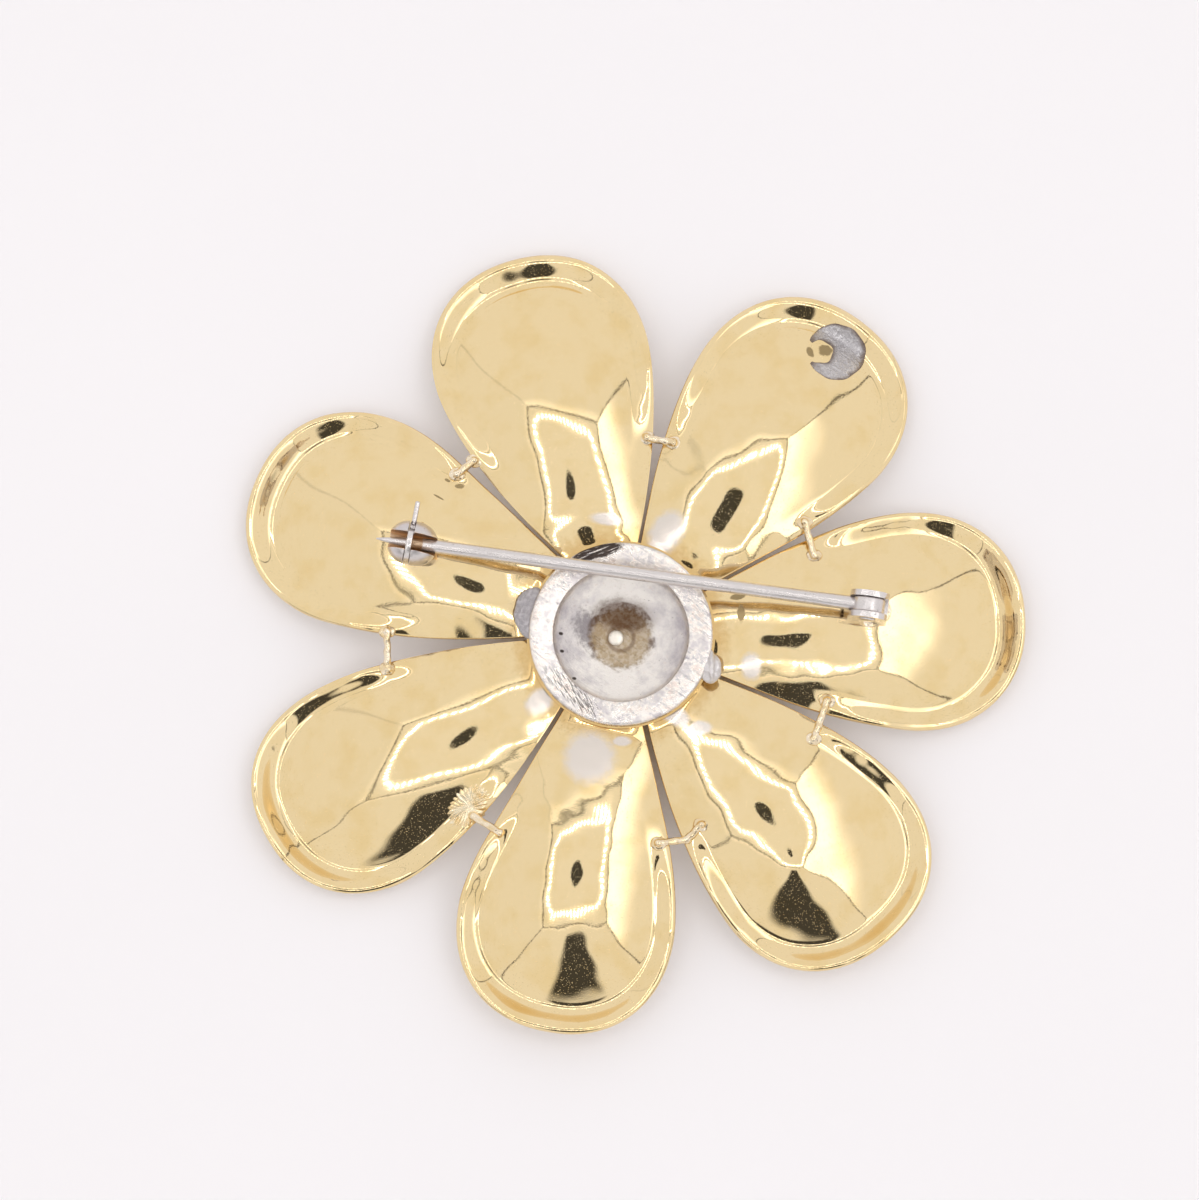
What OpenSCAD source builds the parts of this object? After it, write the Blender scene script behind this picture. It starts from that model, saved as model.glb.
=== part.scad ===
// Flower brooch lying face down: seven domed gold petals with turned rims stand round a silver cup,
// and a hinged pin with a safety catch crosses its back. Z = 0 is the surface that it lies on.

/* [Flower] */
// Height of the petals' seat round the cup
seat_z = 5.2; // [5:0.1:5.4]
// Thickness of the petal sheet
sheet = 0.8; // [0.6:0.1:0.9]
// Radius of the rounding across a petal
cross_r = 14; // [12:0.5:18]
// Radius of the rise from a petal's root to its crest
rise_r = 45; // [40:1:60]
// Bend of a petal's fall from its crest to its tip, where 2 is a parabola
fall_bend = 2.2; // [2:0.1:2.4]
// Width of the turned rim along a petal's sides
lip_w = 2.2; // [2:0.1:2.4]
// Width of the turned rim at a petal's tip
tip_lip_w = 2.9; // [2.5:0.1:3.2]
// Width of the bend between a petal's dome and its rim
lip_bend = 1.4; // [1:0.1:1.8]
// Slope that the rim is turned up by along a petal's sides
lip_slope = 1.08; // [0.9:0.02:1.2]
// Slope that the rim is turned up by at a petal's tip
tip_slope = 1.3; // [1.1:0.05:1.4]
// Length of a petal's round tip
tip_len = 10; // [9.5:0.1:10.5]
// Fullness of the tip's outline, where 2 is an ellipse
tip_round = 2.2; // [2:0.05:2.4]
// Bend of a petal's sides, where 2 is a parabola
side_bend = 1.6; // [1.5:0.05:2]
// Distance from the flower's axis to a petal's root
root_r = 6.5; // [6.4:0.1:6.8]
// Thickness of a tie bar
tie_d = 0.66; // [0.5:0.02:0.8]

/* [Centre] */
// Outer radius of the cup's flange
flange_r = 8.28; // [8:0.02:8.4]
// Radius of the cup's bowl at its step
bowl_r = 6; // [5.8:0.1:6.1]
// Depth of the cup's bowl under the flange
bowl_depth = 3.6; // [3:0.1:3.8]
// Radius of the flat floor of the bowl
floor_r = 2.8; // [2.4:0.1:3.2]
// Radius of the boss on the front
boss_r = 8; // [7:0.1:9]

/* [Pin] */
// Height of the pin's axis
pin_z = 8.4; // [8.3:0.1:8.6]
// Diameter of the pin
pin_d = 1.2; // [1.1:0.05:1.3]
// Length of the pin from its pivot to its point
pin_len = 44.6; // [44:0.1:46]
// Turn of the pin in plan, from the left of the flower
pin_turn = 7.8; // [7.4:0.1:8.2]
// Radius of the pin's knuckle
knuckle_r = 1.2; // [1.1:0.05:1.3]
// Width of the pin's knuckle
knuckle_w = 1.32; // [1.3:0.02:1.5]
// Radius of the hinge's ears
ear_r = 1.75; // [1.7:0.05:1.9]
// Thickness of the hinge's ears
ear_w = 0.52; // [0.48:0.02:0.7]

/* [Catch] */
// Radius of the catch's body
catch_r = 2; // [2:0.05:2.1]
// Half the length of the catch's body
catch_half = 2.3; // [2.2:0.05:2.4]
// Distance from the pivot to the middle of the catch
catch_at = 41.3; // [41.2:0.1:41.5]
// Turn of the catch's slot in plan, from the left of the flower
catch_turn = 11; // [8:0.5:11]
// Width of the slot that the pin lies in
slot_w = 1.6; // [1.56:0.02:1.64]
// Outer radius of the turning collar
collar_r = 1.9; // [1.85:0.05:1.95]
// Width of the turning collar
collar_w = 0.5; // [0.45:0.05:0.55]
// Reach of the collar's lever from the slot's axis
lever_reach = 3.8; // [3.4:0.1:4.1]

/* [Hidden] */
$fn = 48;

gap = 0.05;
centre = [-1.29, 0.39];
gold = [0.86, 0.68, 0.36];
silver = [0.72, 0.72, 0.73];

// One row for each petal, anticlockwise from the right. Its columns are the direction of the axis,
// the reach, the half width, the distance to the crest, the height of the dome's end over the
// surface, the direction of the gap after the petal, half the width of that gap near the root, and
// how far the gap's middle line passes anticlockwise of the flower's axis
AXIS = 0;
REACH = 1;
HALF_W = 2;
CREST = 3;
LOW_Z = 4;
GAP_AT = 5;
GAP_HALF = 6;
GAP_OFF = 7;
PETALS = [
    [3.4, 36.5, 9.9, 15.3, 0.4, 28.9, 0.12, 0],
    [53.1, 36.2, 9.8, 18.6, 0.43, 78.9, 0.12, 0],
    [106, 35.9, 9.8, 18.5, 0.44, 136, 0.12, -1.35],
    [155.7, 36, 9.7, 17.1, 0.35, 183.8, 0.15, -0.3],
    [209.5, 36.6, 9.5, 14.2, 0.33, 239.2, 0.15, -1.2],
    [259.2, 36.2, 9.8, 19.2, 1.8, 282.7, 0.2, 0.35],
    [311.7, 36.4, 10.1, 17.6, 1.3, 338.4, 0.15, -0.2],
];
petal_count = len(PETALS);

// One row for each tie bar, in the gap after the petal of the same row. Its columns are the distance
// from the flower's axis, the reach past the gap's middle onto this petal, the reach onto the next
// one, the turn of the bar away from square to the gap, the length of a bent end on the next petal,
// and the petal that it is soldered to: 0 for this one, 1 for the next one
TIE_R = 0;
TIE_BACK = 1;
TIE_ON = 2;
TIE_TURN = 3;
TIE_LEG = 4;
TIE_HOME = 5;
TIES = [
    [19.2, 2.1, 1, -12.7, 0, 0],
    [18.05, 1.3, 1.15, 0, 0, 0],
    [20.65, 0.9, 1.1, -7.4, 0, 0],
    [21.05, 1.5, 1.8, -3.1, 0, 0],
    [20.85, 1.9, 1, -4.1, 0, 1],
    [19.15, 1.2, 1.4, -4, 1.8, 0],
    [19.45, 2.1, 1.6, 2.3, 0, 0],
];
leg_turn = 37;

// The grid of a petal: stations along each side, stations round the tip, rings inside the rim,
// and the rings' insets on the rim as parts of its width
side_n = 9;
tip_n = 22;
rings_in = 4;
RIM_INSETS = [0.84, 0.68, 0.52, 0.35, 0];
station_n = 2 * side_n + tip_n;
ring_n = rings_in + len(RIM_INSETS);
rise_from = flange_r + 0.4;

// The turned rim starts at the distance lip_from from the flower's axis and is whole after lip_grow
lip_from = 15;
lip_grow = 9;

function full(t) = sign(t) * pow(abs(t), 2 / tip_round);
function smooth(t) = let (c = min(1, max(0, t))) c * c * (3 - 2 * c);
function before(k) = (k + petal_count - 1) % petal_count;
function after(k) = (k + 1) % petal_count;
function turn_to(a, b) = ((b - a) % 360 + 540) % 360 - 180;

// The tip's centre, where a petal is widest
function wide_u(k) = PETALS[k][REACH] - tip_len;

// Angle from a petal's axis to the gap on the side s, and what the gap takes from the petal there
function gap_row(k, s) = PETALS[s > 0 ? k : before(k)];
function gap_angle(k, s) = abs(turn_to(PETALS[k][AXIS], gap_row(k, s)[GAP_AT]));
function gap_take(k, s) = gap_row(k, s)[GAP_HALF] - s * gap_row(k, s)[GAP_OFF];

// Half width at the distance u: a straight side along the gap up to u1, then a curve that grows
// level at the widest place
function half_width(k, s, u) =
    let (b = gap_angle(k, s),
         t = tan(b),
         g = gap_take(k, s) / cos(b),
         w = PETALS[k][HALF_W],
         u0 = wide_u(k),
         u1 = (w + g - u0 * t / side_bend) / (t * (1 - 1 / side_bend)))
    u < u1 ? u * t - g
           : w - t * (u0 - u1) / side_bend * pow((u0 - min(u, u0)) / (u0 - u1), side_bend);

// Spine point and edge point of the station j, counted from the root's right side round the tip
function spine_u(k, j) =
    let (i = min(j, station_n - j, side_n))
    root_r + (wide_u(k) - root_r) * i / side_n;
function edge_point(k, j) =
    let (s = j < station_n / 2 ? -1 : 1,
         a = 90 * (2 * (j - side_n) / tip_n - 1),
         u = spine_u(k, j))
    j > side_n && j < station_n - side_n
        ? [wide_u(k) + tip_len * full(cos(a)), PETALS[k][HALF_W] * full(sin(a))]
        : [u, s * half_width(k, s, u)];

// Height of a petal's upper face at u along it, v across it and d from its edge. The root is level
// under the cup's flange, then the spine rises to its crest and falls to the start of the rim, which
// is turned up all round the tip
function crest_z(k) = seat_z + pow(PETALS[k][CREST] - rise_from, 2) / (2 * rise_r);
function fall_len(k) = PETALS[k][REACH] - tip_lip_w - PETALS[k][CREST];
function fall(k) = crest_z(k) - sheet - PETALS[k][LOW_Z];
function spine_z(k, u) =
    let (c = PETALS[k][CREST])
    u < c ? crest_z(k) - pow(c - max(u, rise_from), 2) / (2 * rise_r)
          : crest_z(k) - fall(k) * pow((u - c) / fall_len(k), fall_bend);
function in_tip(k, u) = smooth((u - wide_u(k)) / tip_len);
function rim_w(k, u) = lip_w + (tip_lip_w - lip_w) * in_tip(k, u);
function lip_z(k, u, d) =
    let (slope = lip_slope + (tip_slope - lip_slope) * in_tip(k, u),
         x = max(0, rim_w(k, u) - d))
    slope * smooth((u - lip_from) / lip_grow)
          * (x < lip_bend ? x * x / (2 * lip_bend) : x - lip_bend / 2);
function petal_z(k, u, v, d) = spine_z(k, u) - v * v / (2 * cross_r) + lip_z(k, u, d);

function ring_point(k, j, i) =
    let (s = [spine_u(k, j), 0],
         e = edge_point(k, j),
         l = norm(e - s),
         w = rim_w(k, e.x),
         t = i <= rings_in ? (l - w) * i / rings_in : l - w * RIM_INSETS[i - rings_in - 1],
         p = s + (e - s) * t / l)
    [p.x, p.y, petal_z(k, p.x, p.y, l - t)];

// A point of the plan in petal k's own directions, as [along, across, distance from its edge]
function in_petal(k, p) =
    let (a = PETALS[k][AXIS],
         u = p.x * cos(a) + p.y * sin(a),
         v = p.y * cos(a) - p.x * sin(a))
    [u, v, half_width(k, v < 0 ? -1 : 1, u) - abs(v)];
function face_z(k, p) = let (q = in_petal(k, p)) petal_z(k, q.x, q.y, q.z);

module petal_sheet(k) {
    spine_n = side_n + 1;
    layer_n = spine_n + (station_n + 1) * ring_n;
    top = concat(
        [for (j = [0 : side_n]) let (u = spine_u(k, j)) [u, 0, petal_z(k, u, 0, tip_lip_w)]],
        [for (j = [0 : station_n], i = [1 : ring_n]) ring_point(k, j, i)]);
    low = [for (p = top) p - [0, 0, sheet]];
    function at(j, i) = i == 0 ? min(j, station_n - j, side_n) : spine_n + j * ring_n + i - 1;
    cells = [for (j = [0 : station_n - 1], i = [0 : ring_n - 1])
        [at(j, i), at(j + 1, i), at(j + 1, i + 1), at(j, i + 1)]];
    faces_top = [for (c = cells) c[0] == c[1] ? [c[0], c[2], c[3]] : c];
    faces_low = [for (c = faces_top) [for (n = [len(c) - 1 : -1 : 0]) c[n] + layer_n]];
    rim = [for (j = [0 : station_n - 1])
        [at(j, ring_n), at(j + 1, ring_n), at(j + 1, ring_n) + layer_n, at(j, ring_n) + layer_n]];
    root = concat([for (i = [ring_n : -1 : 1]) at(station_n, i)], [for (i = [0 : ring_n]) at(0, i)]);
    root_faces = [for (i = [0 : len(root) - 2])
        [root[i], root[i + 1], root[i + 1] + layer_n, root[i] + layer_n]];
    polyhedron(concat(top, low), concat(faces_top, faces_low, rim, root_faces), convexity = 6);
}

// Tie bar t: a short bar with round ends, sunk into the petal that it is soldered to and standing
// just clear of the other one
ball = tie_d * 0.56;
tie_sunk = tie_d * 0.3;
tie_clear = 1.5 * (ball + gap);
function toward(a) = [cos(a), sin(a)];
function tie_lift(t, side) = TIES[t][TIE_HOME] == side ? tie_sunk : tie_clear;
function tie_end(t, side, p) = [p.x, p.y, face_z(side == 0 ? t : after(t), p) + tie_lift(t, side)];

module tie_bar(t) {
    row = TIES[t];
    g = PETALS[t][GAP_AT];
    bar_turn = g + 90 + row[TIE_TURN];
    middle = row[TIE_R] * toward(g) + PETALS[t][GAP_OFF] * toward(g + 90);
    start = middle - row[TIE_BACK] * toward(bar_turn);
    bend = middle + row[TIE_ON] * toward(bar_turn);
    leg = bend + row[TIE_LEG] * toward(bar_turn + leg_turn);
    rod(tie_end(t, 0, start), tie_end(t, 1, bend));
    if (row[TIE_LEG] > 0) rod(tie_end(t, 1, bend), tie_end(t, 1, leg));
}

module rod(from, to) {
    turn = to - from;
    translate(from)
        rotate([0, acos(turn.z / norm(turn)), atan2(turn.y, turn.x)])
            cylinder(h = norm(turn), d = tie_d, $fn = 24);
    for (p = [from, to]) translate(p) sphere(ball, $fn = 24);
}

module petal(k) color(gold) on_axis() {
    rotate(PETALS[k][AXIS]) petal_sheet(k);
    if (TIES[k][TIE_HOME] == 0) tie_bar(k);
    if (TIES[before(k)][TIE_HOME] == 1) tie_bar(before(k));
}

module on_axis() translate(centre) children();

ring_z = seat_z + gap;
ring_h = 0.35;
flange_z = ring_z + ring_h + gap;
flange_h = 0.6;
flange_top = flange_z + flange_h;
cup_wall = 0.55;
bowl_out = bowl_r + 0.33;
floor_z = flange_top - bowl_depth;
floor_low = floor_z - cup_wall;
rivet_r = 0.5;
rivet_head_r = 0.72;
rivet_at = [-0.45, 0];
tab_r = 3;
tab_h = 0.35;
tab_at = [-6.6, 1.5];
lump_r = 1.1;
lump_h = 0.5;
lump_at = [8.2, -3.1];

module seat_ring() color(gold) on_axis() translate([0, 0, ring_z]) difference() {
    cylinder(h = ring_h, r = flange_r + 0.2);
    translate([0, 0, -1]) cylinder(h = ring_h + 2, r = root_r);
}

// The cup is a revolved wall with a step under its flange, a solder tab at the left of the flange and
// a lump of solder at the right
module back_cup() color(silver) on_axis() difference() {
    union() {
        rotate_extrude() polygon([
            [0, floor_low],
            [floor_r + cup_wall, floor_low],
            [bowl_out, flange_z - 0.9],
            [bowl_out, flange_z],
            [flange_r, flange_z],
            [flange_r, flange_top - 0.15],
            [flange_r - 0.15, flange_top],
            [flange_r - 0.5, flange_top],
            [bowl_r + 0.15, flange_top - 0.3],
            [bowl_r + 0.1, flange_top - 0.5],
            [bowl_r - 0.15, flange_top - 1],
            [bowl_r - 0.7, flange_top - 1.7],
            [floor_r + 0.25, floor_z + 0.35],
            [floor_r, floor_z],
            [0, floor_z],
        ]);
        translate([tab_at.x, tab_at.y, flange_z]) cylinder(h = tab_h, r = tab_r);
        translate([lump_at.x, lump_at.y, flange_z]) cylinder(h = lump_h, r = lump_r);
    }
    translate([0, 0, flange_z - 0.1]) cylinder(h = 2, r = bowl_r - 0.1);
    translate([rivet_at.x, rivet_at.y, floor_low - 1]) cylinder(h = 2, r = rivet_r + gap);
}

boss_z = floor_low - gap;
boss_low = 0.4;
boss_hole = boss_low + 0.9;

module on_rivet() on_axis() translate([rivet_at.x, rivet_at.y, 0]) children();

module centre_rivet() color(silver) on_rivet() rotate_extrude() polygon([
    [0, boss_hole + gap],
    [rivet_r, boss_hole + gap],
    [rivet_r, floor_z + gap],
    [rivet_head_r, floor_z + gap],
    [rivet_head_r, floor_z + 0.2],
    [rivet_r, floor_z + 0.36],
    [0, floor_z + 0.42],
]);

module front_boss() color(gold) difference() {
    rise = boss_z - boss_low;
    ball_r = (boss_r * boss_r + rise * rise) / (2 * rise);
    on_axis() intersection() {
        translate([0, 0, boss_low + ball_r]) sphere(ball_r, $fn = 256);
        translate([0, 0, boss_low]) cylinder(h = rise, r = boss_r, $fn = 128);
    }
    on_rivet() translate([0, 0, boss_hole]) cylinder(h = rise + 1, r = rivet_r + gap);
}

// The pin's own directions: X from its pivot towards its point, Y across it, Z up
pivot = [22.21, 2.32];
catch_mid = pivot + catch_at * toward(180 - pin_turn);
module on_pin() on_axis() translate([pivot.x, pivot.y, pin_z]) rotate(180 - pin_turn) children();
module across(w) rotate([90, 0, 0]) translate([0, 0, -w / 2]) children();

// Height of petal k's face, with room for a foot on it, at p in plan, counted from the pin's axis
foot_gap = 0.15;
function foot_z(k, p) = face_z(k, p) + foot_gap - pin_z;

hinge_r = 0.46;
ear_gap = 0.03;
ear_in = knuckle_w / 2 + ear_gap;
ear_out = ear_in + ear_w;
head_r = 0.75;
head_h = 0.18;
head_gap = 0.02;

// The hinge is a base that follows the slope of petal_1, with an ear on each side of the knuckle and
// a hole through both for the rivet
module hinge_block() color(silver) on_pin() {
    deck = -knuckle_r - 0.3;
    ahead = foot_z(0, pivot + ear_r * toward(180 - pin_turn));
    behind = foot_z(0, pivot - ear_r * toward(180 - pin_turn));
    across(2 * ear_out) linear_extrude(2 * ear_out)
        polygon([[-ear_r, behind], [ear_r, ahead], [ear_r, deck], [-ear_r, deck]]);
    for (s = [-1, 1]) difference() {
        translate([0, s * (ear_in + ear_w / 2), 0]) across(ear_w) union() {
            cylinder(h = ear_w, r = ear_r);
            translate([-ear_r, deck - 0.2, 0]) cube([2 * ear_r, -deck + 0.2, ear_w]);
        }
        across(2 * ear_out + 2) cylinder(h = 2 * ear_out + 2, r = hinge_r + head_gap);
    }
}

module hinge_rivet() color(silver) on_pin() {
    shank = 2 * (ear_out + head_gap) + head_h;
    across(shank) cylinder(h = shank, r = hinge_r);
    for (s = [-1, 1])
        translate([0, s * (ear_out + head_gap + head_h / 2), 0]) across(head_h)
            cylinder(h = head_h, r = head_r);
}

// The pin is flat where the rivet goes through it, round along its stem up to the catch, and steps
// down inside the catch to a tapered point
stem_from = 4.6;
stem_to = catch_at - catch_half - 0.3;
knuckle_gap = 0.04;

module pin_stem() color(silver) on_pin() difference() {
    r = pin_d / 2;
    flat_r = knuckle_w / 2 - knuckle_gap;
    neck_at = ear_r + 0.15;
    union() {
        across(knuckle_w) cylinder(h = knuckle_w, r = knuckle_r);
        rotate([0, 90, 0]) rotate_extrude() polygon([
            [0, 0],
            [flat_r, 0],
            [flat_r, neck_at],
            [r + 0.1, neck_at + 0.1],
            [r, stem_from],
            [r, stem_to],
            [r * 0.98, catch_at - 0.95],
            [r * 0.87, catch_at - 0.85],
            [r * 0.83, catch_at + 0.1],
            [r * 0.62, catch_at + 0.8],
            [r * 0.45, catch_at + 1.8],
            [0.04, pin_len],
            [0, pin_len],
        ]);
    }
    across(knuckle_w + 2) cylinder(h = knuckle_w + 2, r = hinge_r + knuckle_gap);
}

core_r = 1.25;
groove_at = 0.27;
groove_w = collar_w + 0.12;
groove_low = groove_at - groove_w / 2;
groove_high = groove_at + groove_w / 2;
catch_foot = 1.3;

// The catch's own directions: X along its slot towards the pin's point, Y across it, Z up
module on_catch()
    on_axis() translate([catch_mid.x, catch_mid.y, pin_z]) rotate(180 - catch_turn) children();
module along_slot() rotate([0, 90, 0]) children();

// Point of the catch's round outline at the distance x along its slot
function bead(x) = [catch_r * sqrt(max(0, 1 - pow(abs(x) / catch_half, 2.4))), x];

// The catch is a bead with a slot for the pin from above and a groove for the collar round its core,
// on a foot that follows the slope of petal_4
module catch_body() color(silver) on_catch() difference() {
    steps = [0.3, 0.55, 0.75, 0.88, 0.96, 1];
    ring_hole = collar_r + 0.07;
    ahead = foot_z(3, catch_mid + catch_foot * toward(180 - catch_turn));
    behind = foot_z(3, catch_mid - catch_foot * toward(180 - catch_turn));
    union() {
        along_slot() rotate_extrude() polygon(concat(
            [for (n = [len(steps) - 1 : -1 : 0]) bead(-steps[n] * catch_half)],
            [[catch_r, groove_low], [core_r, groove_low], [core_r, groove_high], [catch_r, groove_high]],
            [for (t = steps) bead(t * catch_half)]));
        difference() {
            across(2 * catch_foot) linear_extrude(2 * catch_foot)
                polygon([[-catch_foot, behind], [catch_foot, ahead], [catch_foot, -1], [-catch_foot, -1]]);
            along_slot() translate([0, 0, groove_low]) cylinder(h = groove_w, r = ring_hole);
        }
    }
    translate([-2 * catch_r, -slot_w / 2, 0]) cube([4 * catch_r, slot_w, 2 * catch_r]);
    along_slot() translate([0, 0, -2 * catch_r]) cylinder(h = 4 * catch_r, r = slot_w / 2);
}

// The collar's ring is open for the angle mouth_w about the direction mouth_at, seen along the slot.
// Its lever is sunk into the ring and leans up by lever_lean
mouth_at = -36;
mouth_w = 66;
lever_r = 0.24;
lever_back = 0.05;
lever_sunk = 0.3;
lever_lean = 4;

module catch_collar() color(silver) on_catch() translate([groove_at, 0, 0]) {
    rotate([90, 0, -90]) translate([0, 0, -collar_w / 2]) linear_extrude(collar_w) difference() {
        circle(collar_r);
        circle(core_r + gap);
        polygon(concat([[0, 0]],
                       [for (t = [-0.5 : 0.25 : 0.5]) 3 * toward(mouth_at + t * mouth_w)]));
    }
    rotate([-lever_lean, 0, 0]) translate([-lever_back, lever_sunk - collar_r, 0]) rotate([90, 0, 0])
        cylinder(h = lever_reach - collar_r + lever_sunk, r = lever_r);
}

petal(0);  // petal_1
petal(1);  // petal_2
petal(2);  // petal_3
petal(3);  // petal_4
petal(4);  // petal_5
petal(5);  // petal_6
petal(6);  // petal_7
seat_ring();
back_cup();
centre_rivet();
front_boss();
hinge_block();
hinge_rivet();
pin_stem();
catch_body();
catch_collar();
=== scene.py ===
"""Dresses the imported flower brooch: polished petals, a cast cup, a pin and its catch, on white paper."""

import logging
import math
from collections.abc import Callable, Iterator, Sequence
from contextlib import contextmanager
from dataclasses import dataclass, field
from enum import Enum
from typing import Any

import bpy
import numpy as np
from mathutils import Matrix, Vector


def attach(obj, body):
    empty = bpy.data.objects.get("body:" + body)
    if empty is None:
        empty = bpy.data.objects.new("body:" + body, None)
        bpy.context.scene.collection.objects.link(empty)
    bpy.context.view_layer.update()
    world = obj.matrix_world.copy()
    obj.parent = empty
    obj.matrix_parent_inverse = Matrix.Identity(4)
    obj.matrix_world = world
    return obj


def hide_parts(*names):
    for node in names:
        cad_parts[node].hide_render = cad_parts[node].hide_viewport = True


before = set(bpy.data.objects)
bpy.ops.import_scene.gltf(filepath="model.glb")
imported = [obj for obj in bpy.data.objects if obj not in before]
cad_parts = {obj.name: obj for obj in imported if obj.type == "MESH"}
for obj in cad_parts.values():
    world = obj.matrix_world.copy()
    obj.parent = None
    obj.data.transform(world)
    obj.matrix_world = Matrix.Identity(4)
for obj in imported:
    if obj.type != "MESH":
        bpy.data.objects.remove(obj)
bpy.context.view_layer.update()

LOG = logging.getLogger("brooch")
MM = 0.001
BODY = "brooch"
# The flower's axis in plan, in mm
CENTRE = (-1.29, 0.39)


class Slot(Enum):
    """The record's material slots."""

    GOLD = "gold_plate"
    CAST = "cast_silver"
    STEEL = "steel"


class Wall(Enum):
    """Ways in which two solids are joined."""

    FUSE = "UNION"
    CUT = "DIFFERENCE"


def cos_sin(degrees: float) -> tuple[float, float]:
    """Cosine and sine of an angle in degrees."""
    return math.cos(math.radians(degrees)), math.sin(math.radians(degrees))


# Shader maths


class Shade:
    """A node's output that takes part in Python expressions."""

    def __init__(self, graph: "Graph", socket: bpy.types.NodeSocket) -> None:
        """Wraps a socket of the graph."""
        self.graph = graph
        self.socket = socket

    def maths(self, operation: str, *others: "Shade | float", turned: bool = False) -> "Shade":
        """Adds a Math node.

        Args:
            operation: the Math node's operation.
            others: its other inputs.
            turned: whether this value is the second input.

        Returns:
            The node's value.
        """
        inputs = [self, *others]
        if turned:
            inputs.reverse()
        return self.graph.make("ShaderNodeMath", {"operation": operation}, dict(enumerate(inputs)))

    def __add__(self, other: "Shade | float") -> "Shade":
        """Sum."""
        return self.maths("ADD", other)

    __radd__ = __add__

    def __mul__(self, other: "Shade | float") -> "Shade":
        """Product."""
        return self.maths("MULTIPLY", other)

    __rmul__ = __mul__

    def __sub__(self, other: "Shade | float") -> "Shade":
        """Difference."""
        return self.maths("SUBTRACT", other)

    def __rsub__(self, other: float) -> "Shade":
        """Difference from a number."""
        return self.maths("SUBTRACT", other, turned=True)

    def __truediv__(self, other: "Shade | float") -> "Shade":
        """Quotient."""
        return self.maths("DIVIDE", other)

    def __pow__(self, other: "Shade | float") -> "Shade":
        """Power."""
        return self.maths("POWER", other)

    def __abs__(self) -> "Shade":
        """Absolute value."""
        return self.maths("ABSOLUTE")

    def __gt__(self, other: "Shade | float") -> "Shade":
        """One where this value is greater."""
        return self.maths("GREATER_THAN", other)

    def __lt__(self, other: "Shade | float") -> "Shade":
        """One where this value is less."""
        return self.maths("LESS_THAN", other)

    def most(self, other: "Shade | float") -> "Shade":
        """The greater of the two."""
        return self.maths("MAXIMUM", other)

    def least(self, other: "Shade | float") -> "Shade":
        """The smaller of the two."""
        return self.maths("MINIMUM", other)

    def clipped(self) -> "Shade":
        """The value held between 0 and 1."""
        return self.most(0.0).least(1.0)

    def rise(self, low: float, high: float) -> "Shade":
        """A smooth step.

        Args:
            low: where the step leaves 0.
            high: where it reaches 1; below low, the step falls instead.

        Returns:
            A value between 0 and 1.
        """
        ends = (low, high, 0.0, 1.0) if low < high else (high, low, 1.0, 0.0)
        inputs = {0: self, 1: ends[0], 2: ends[1], 3: ends[2], 4: ends[3]}
        return self.graph.make("ShaderNodeMapRange", {"interpolation_type": "SMOOTHSTEP"}, inputs)


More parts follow.
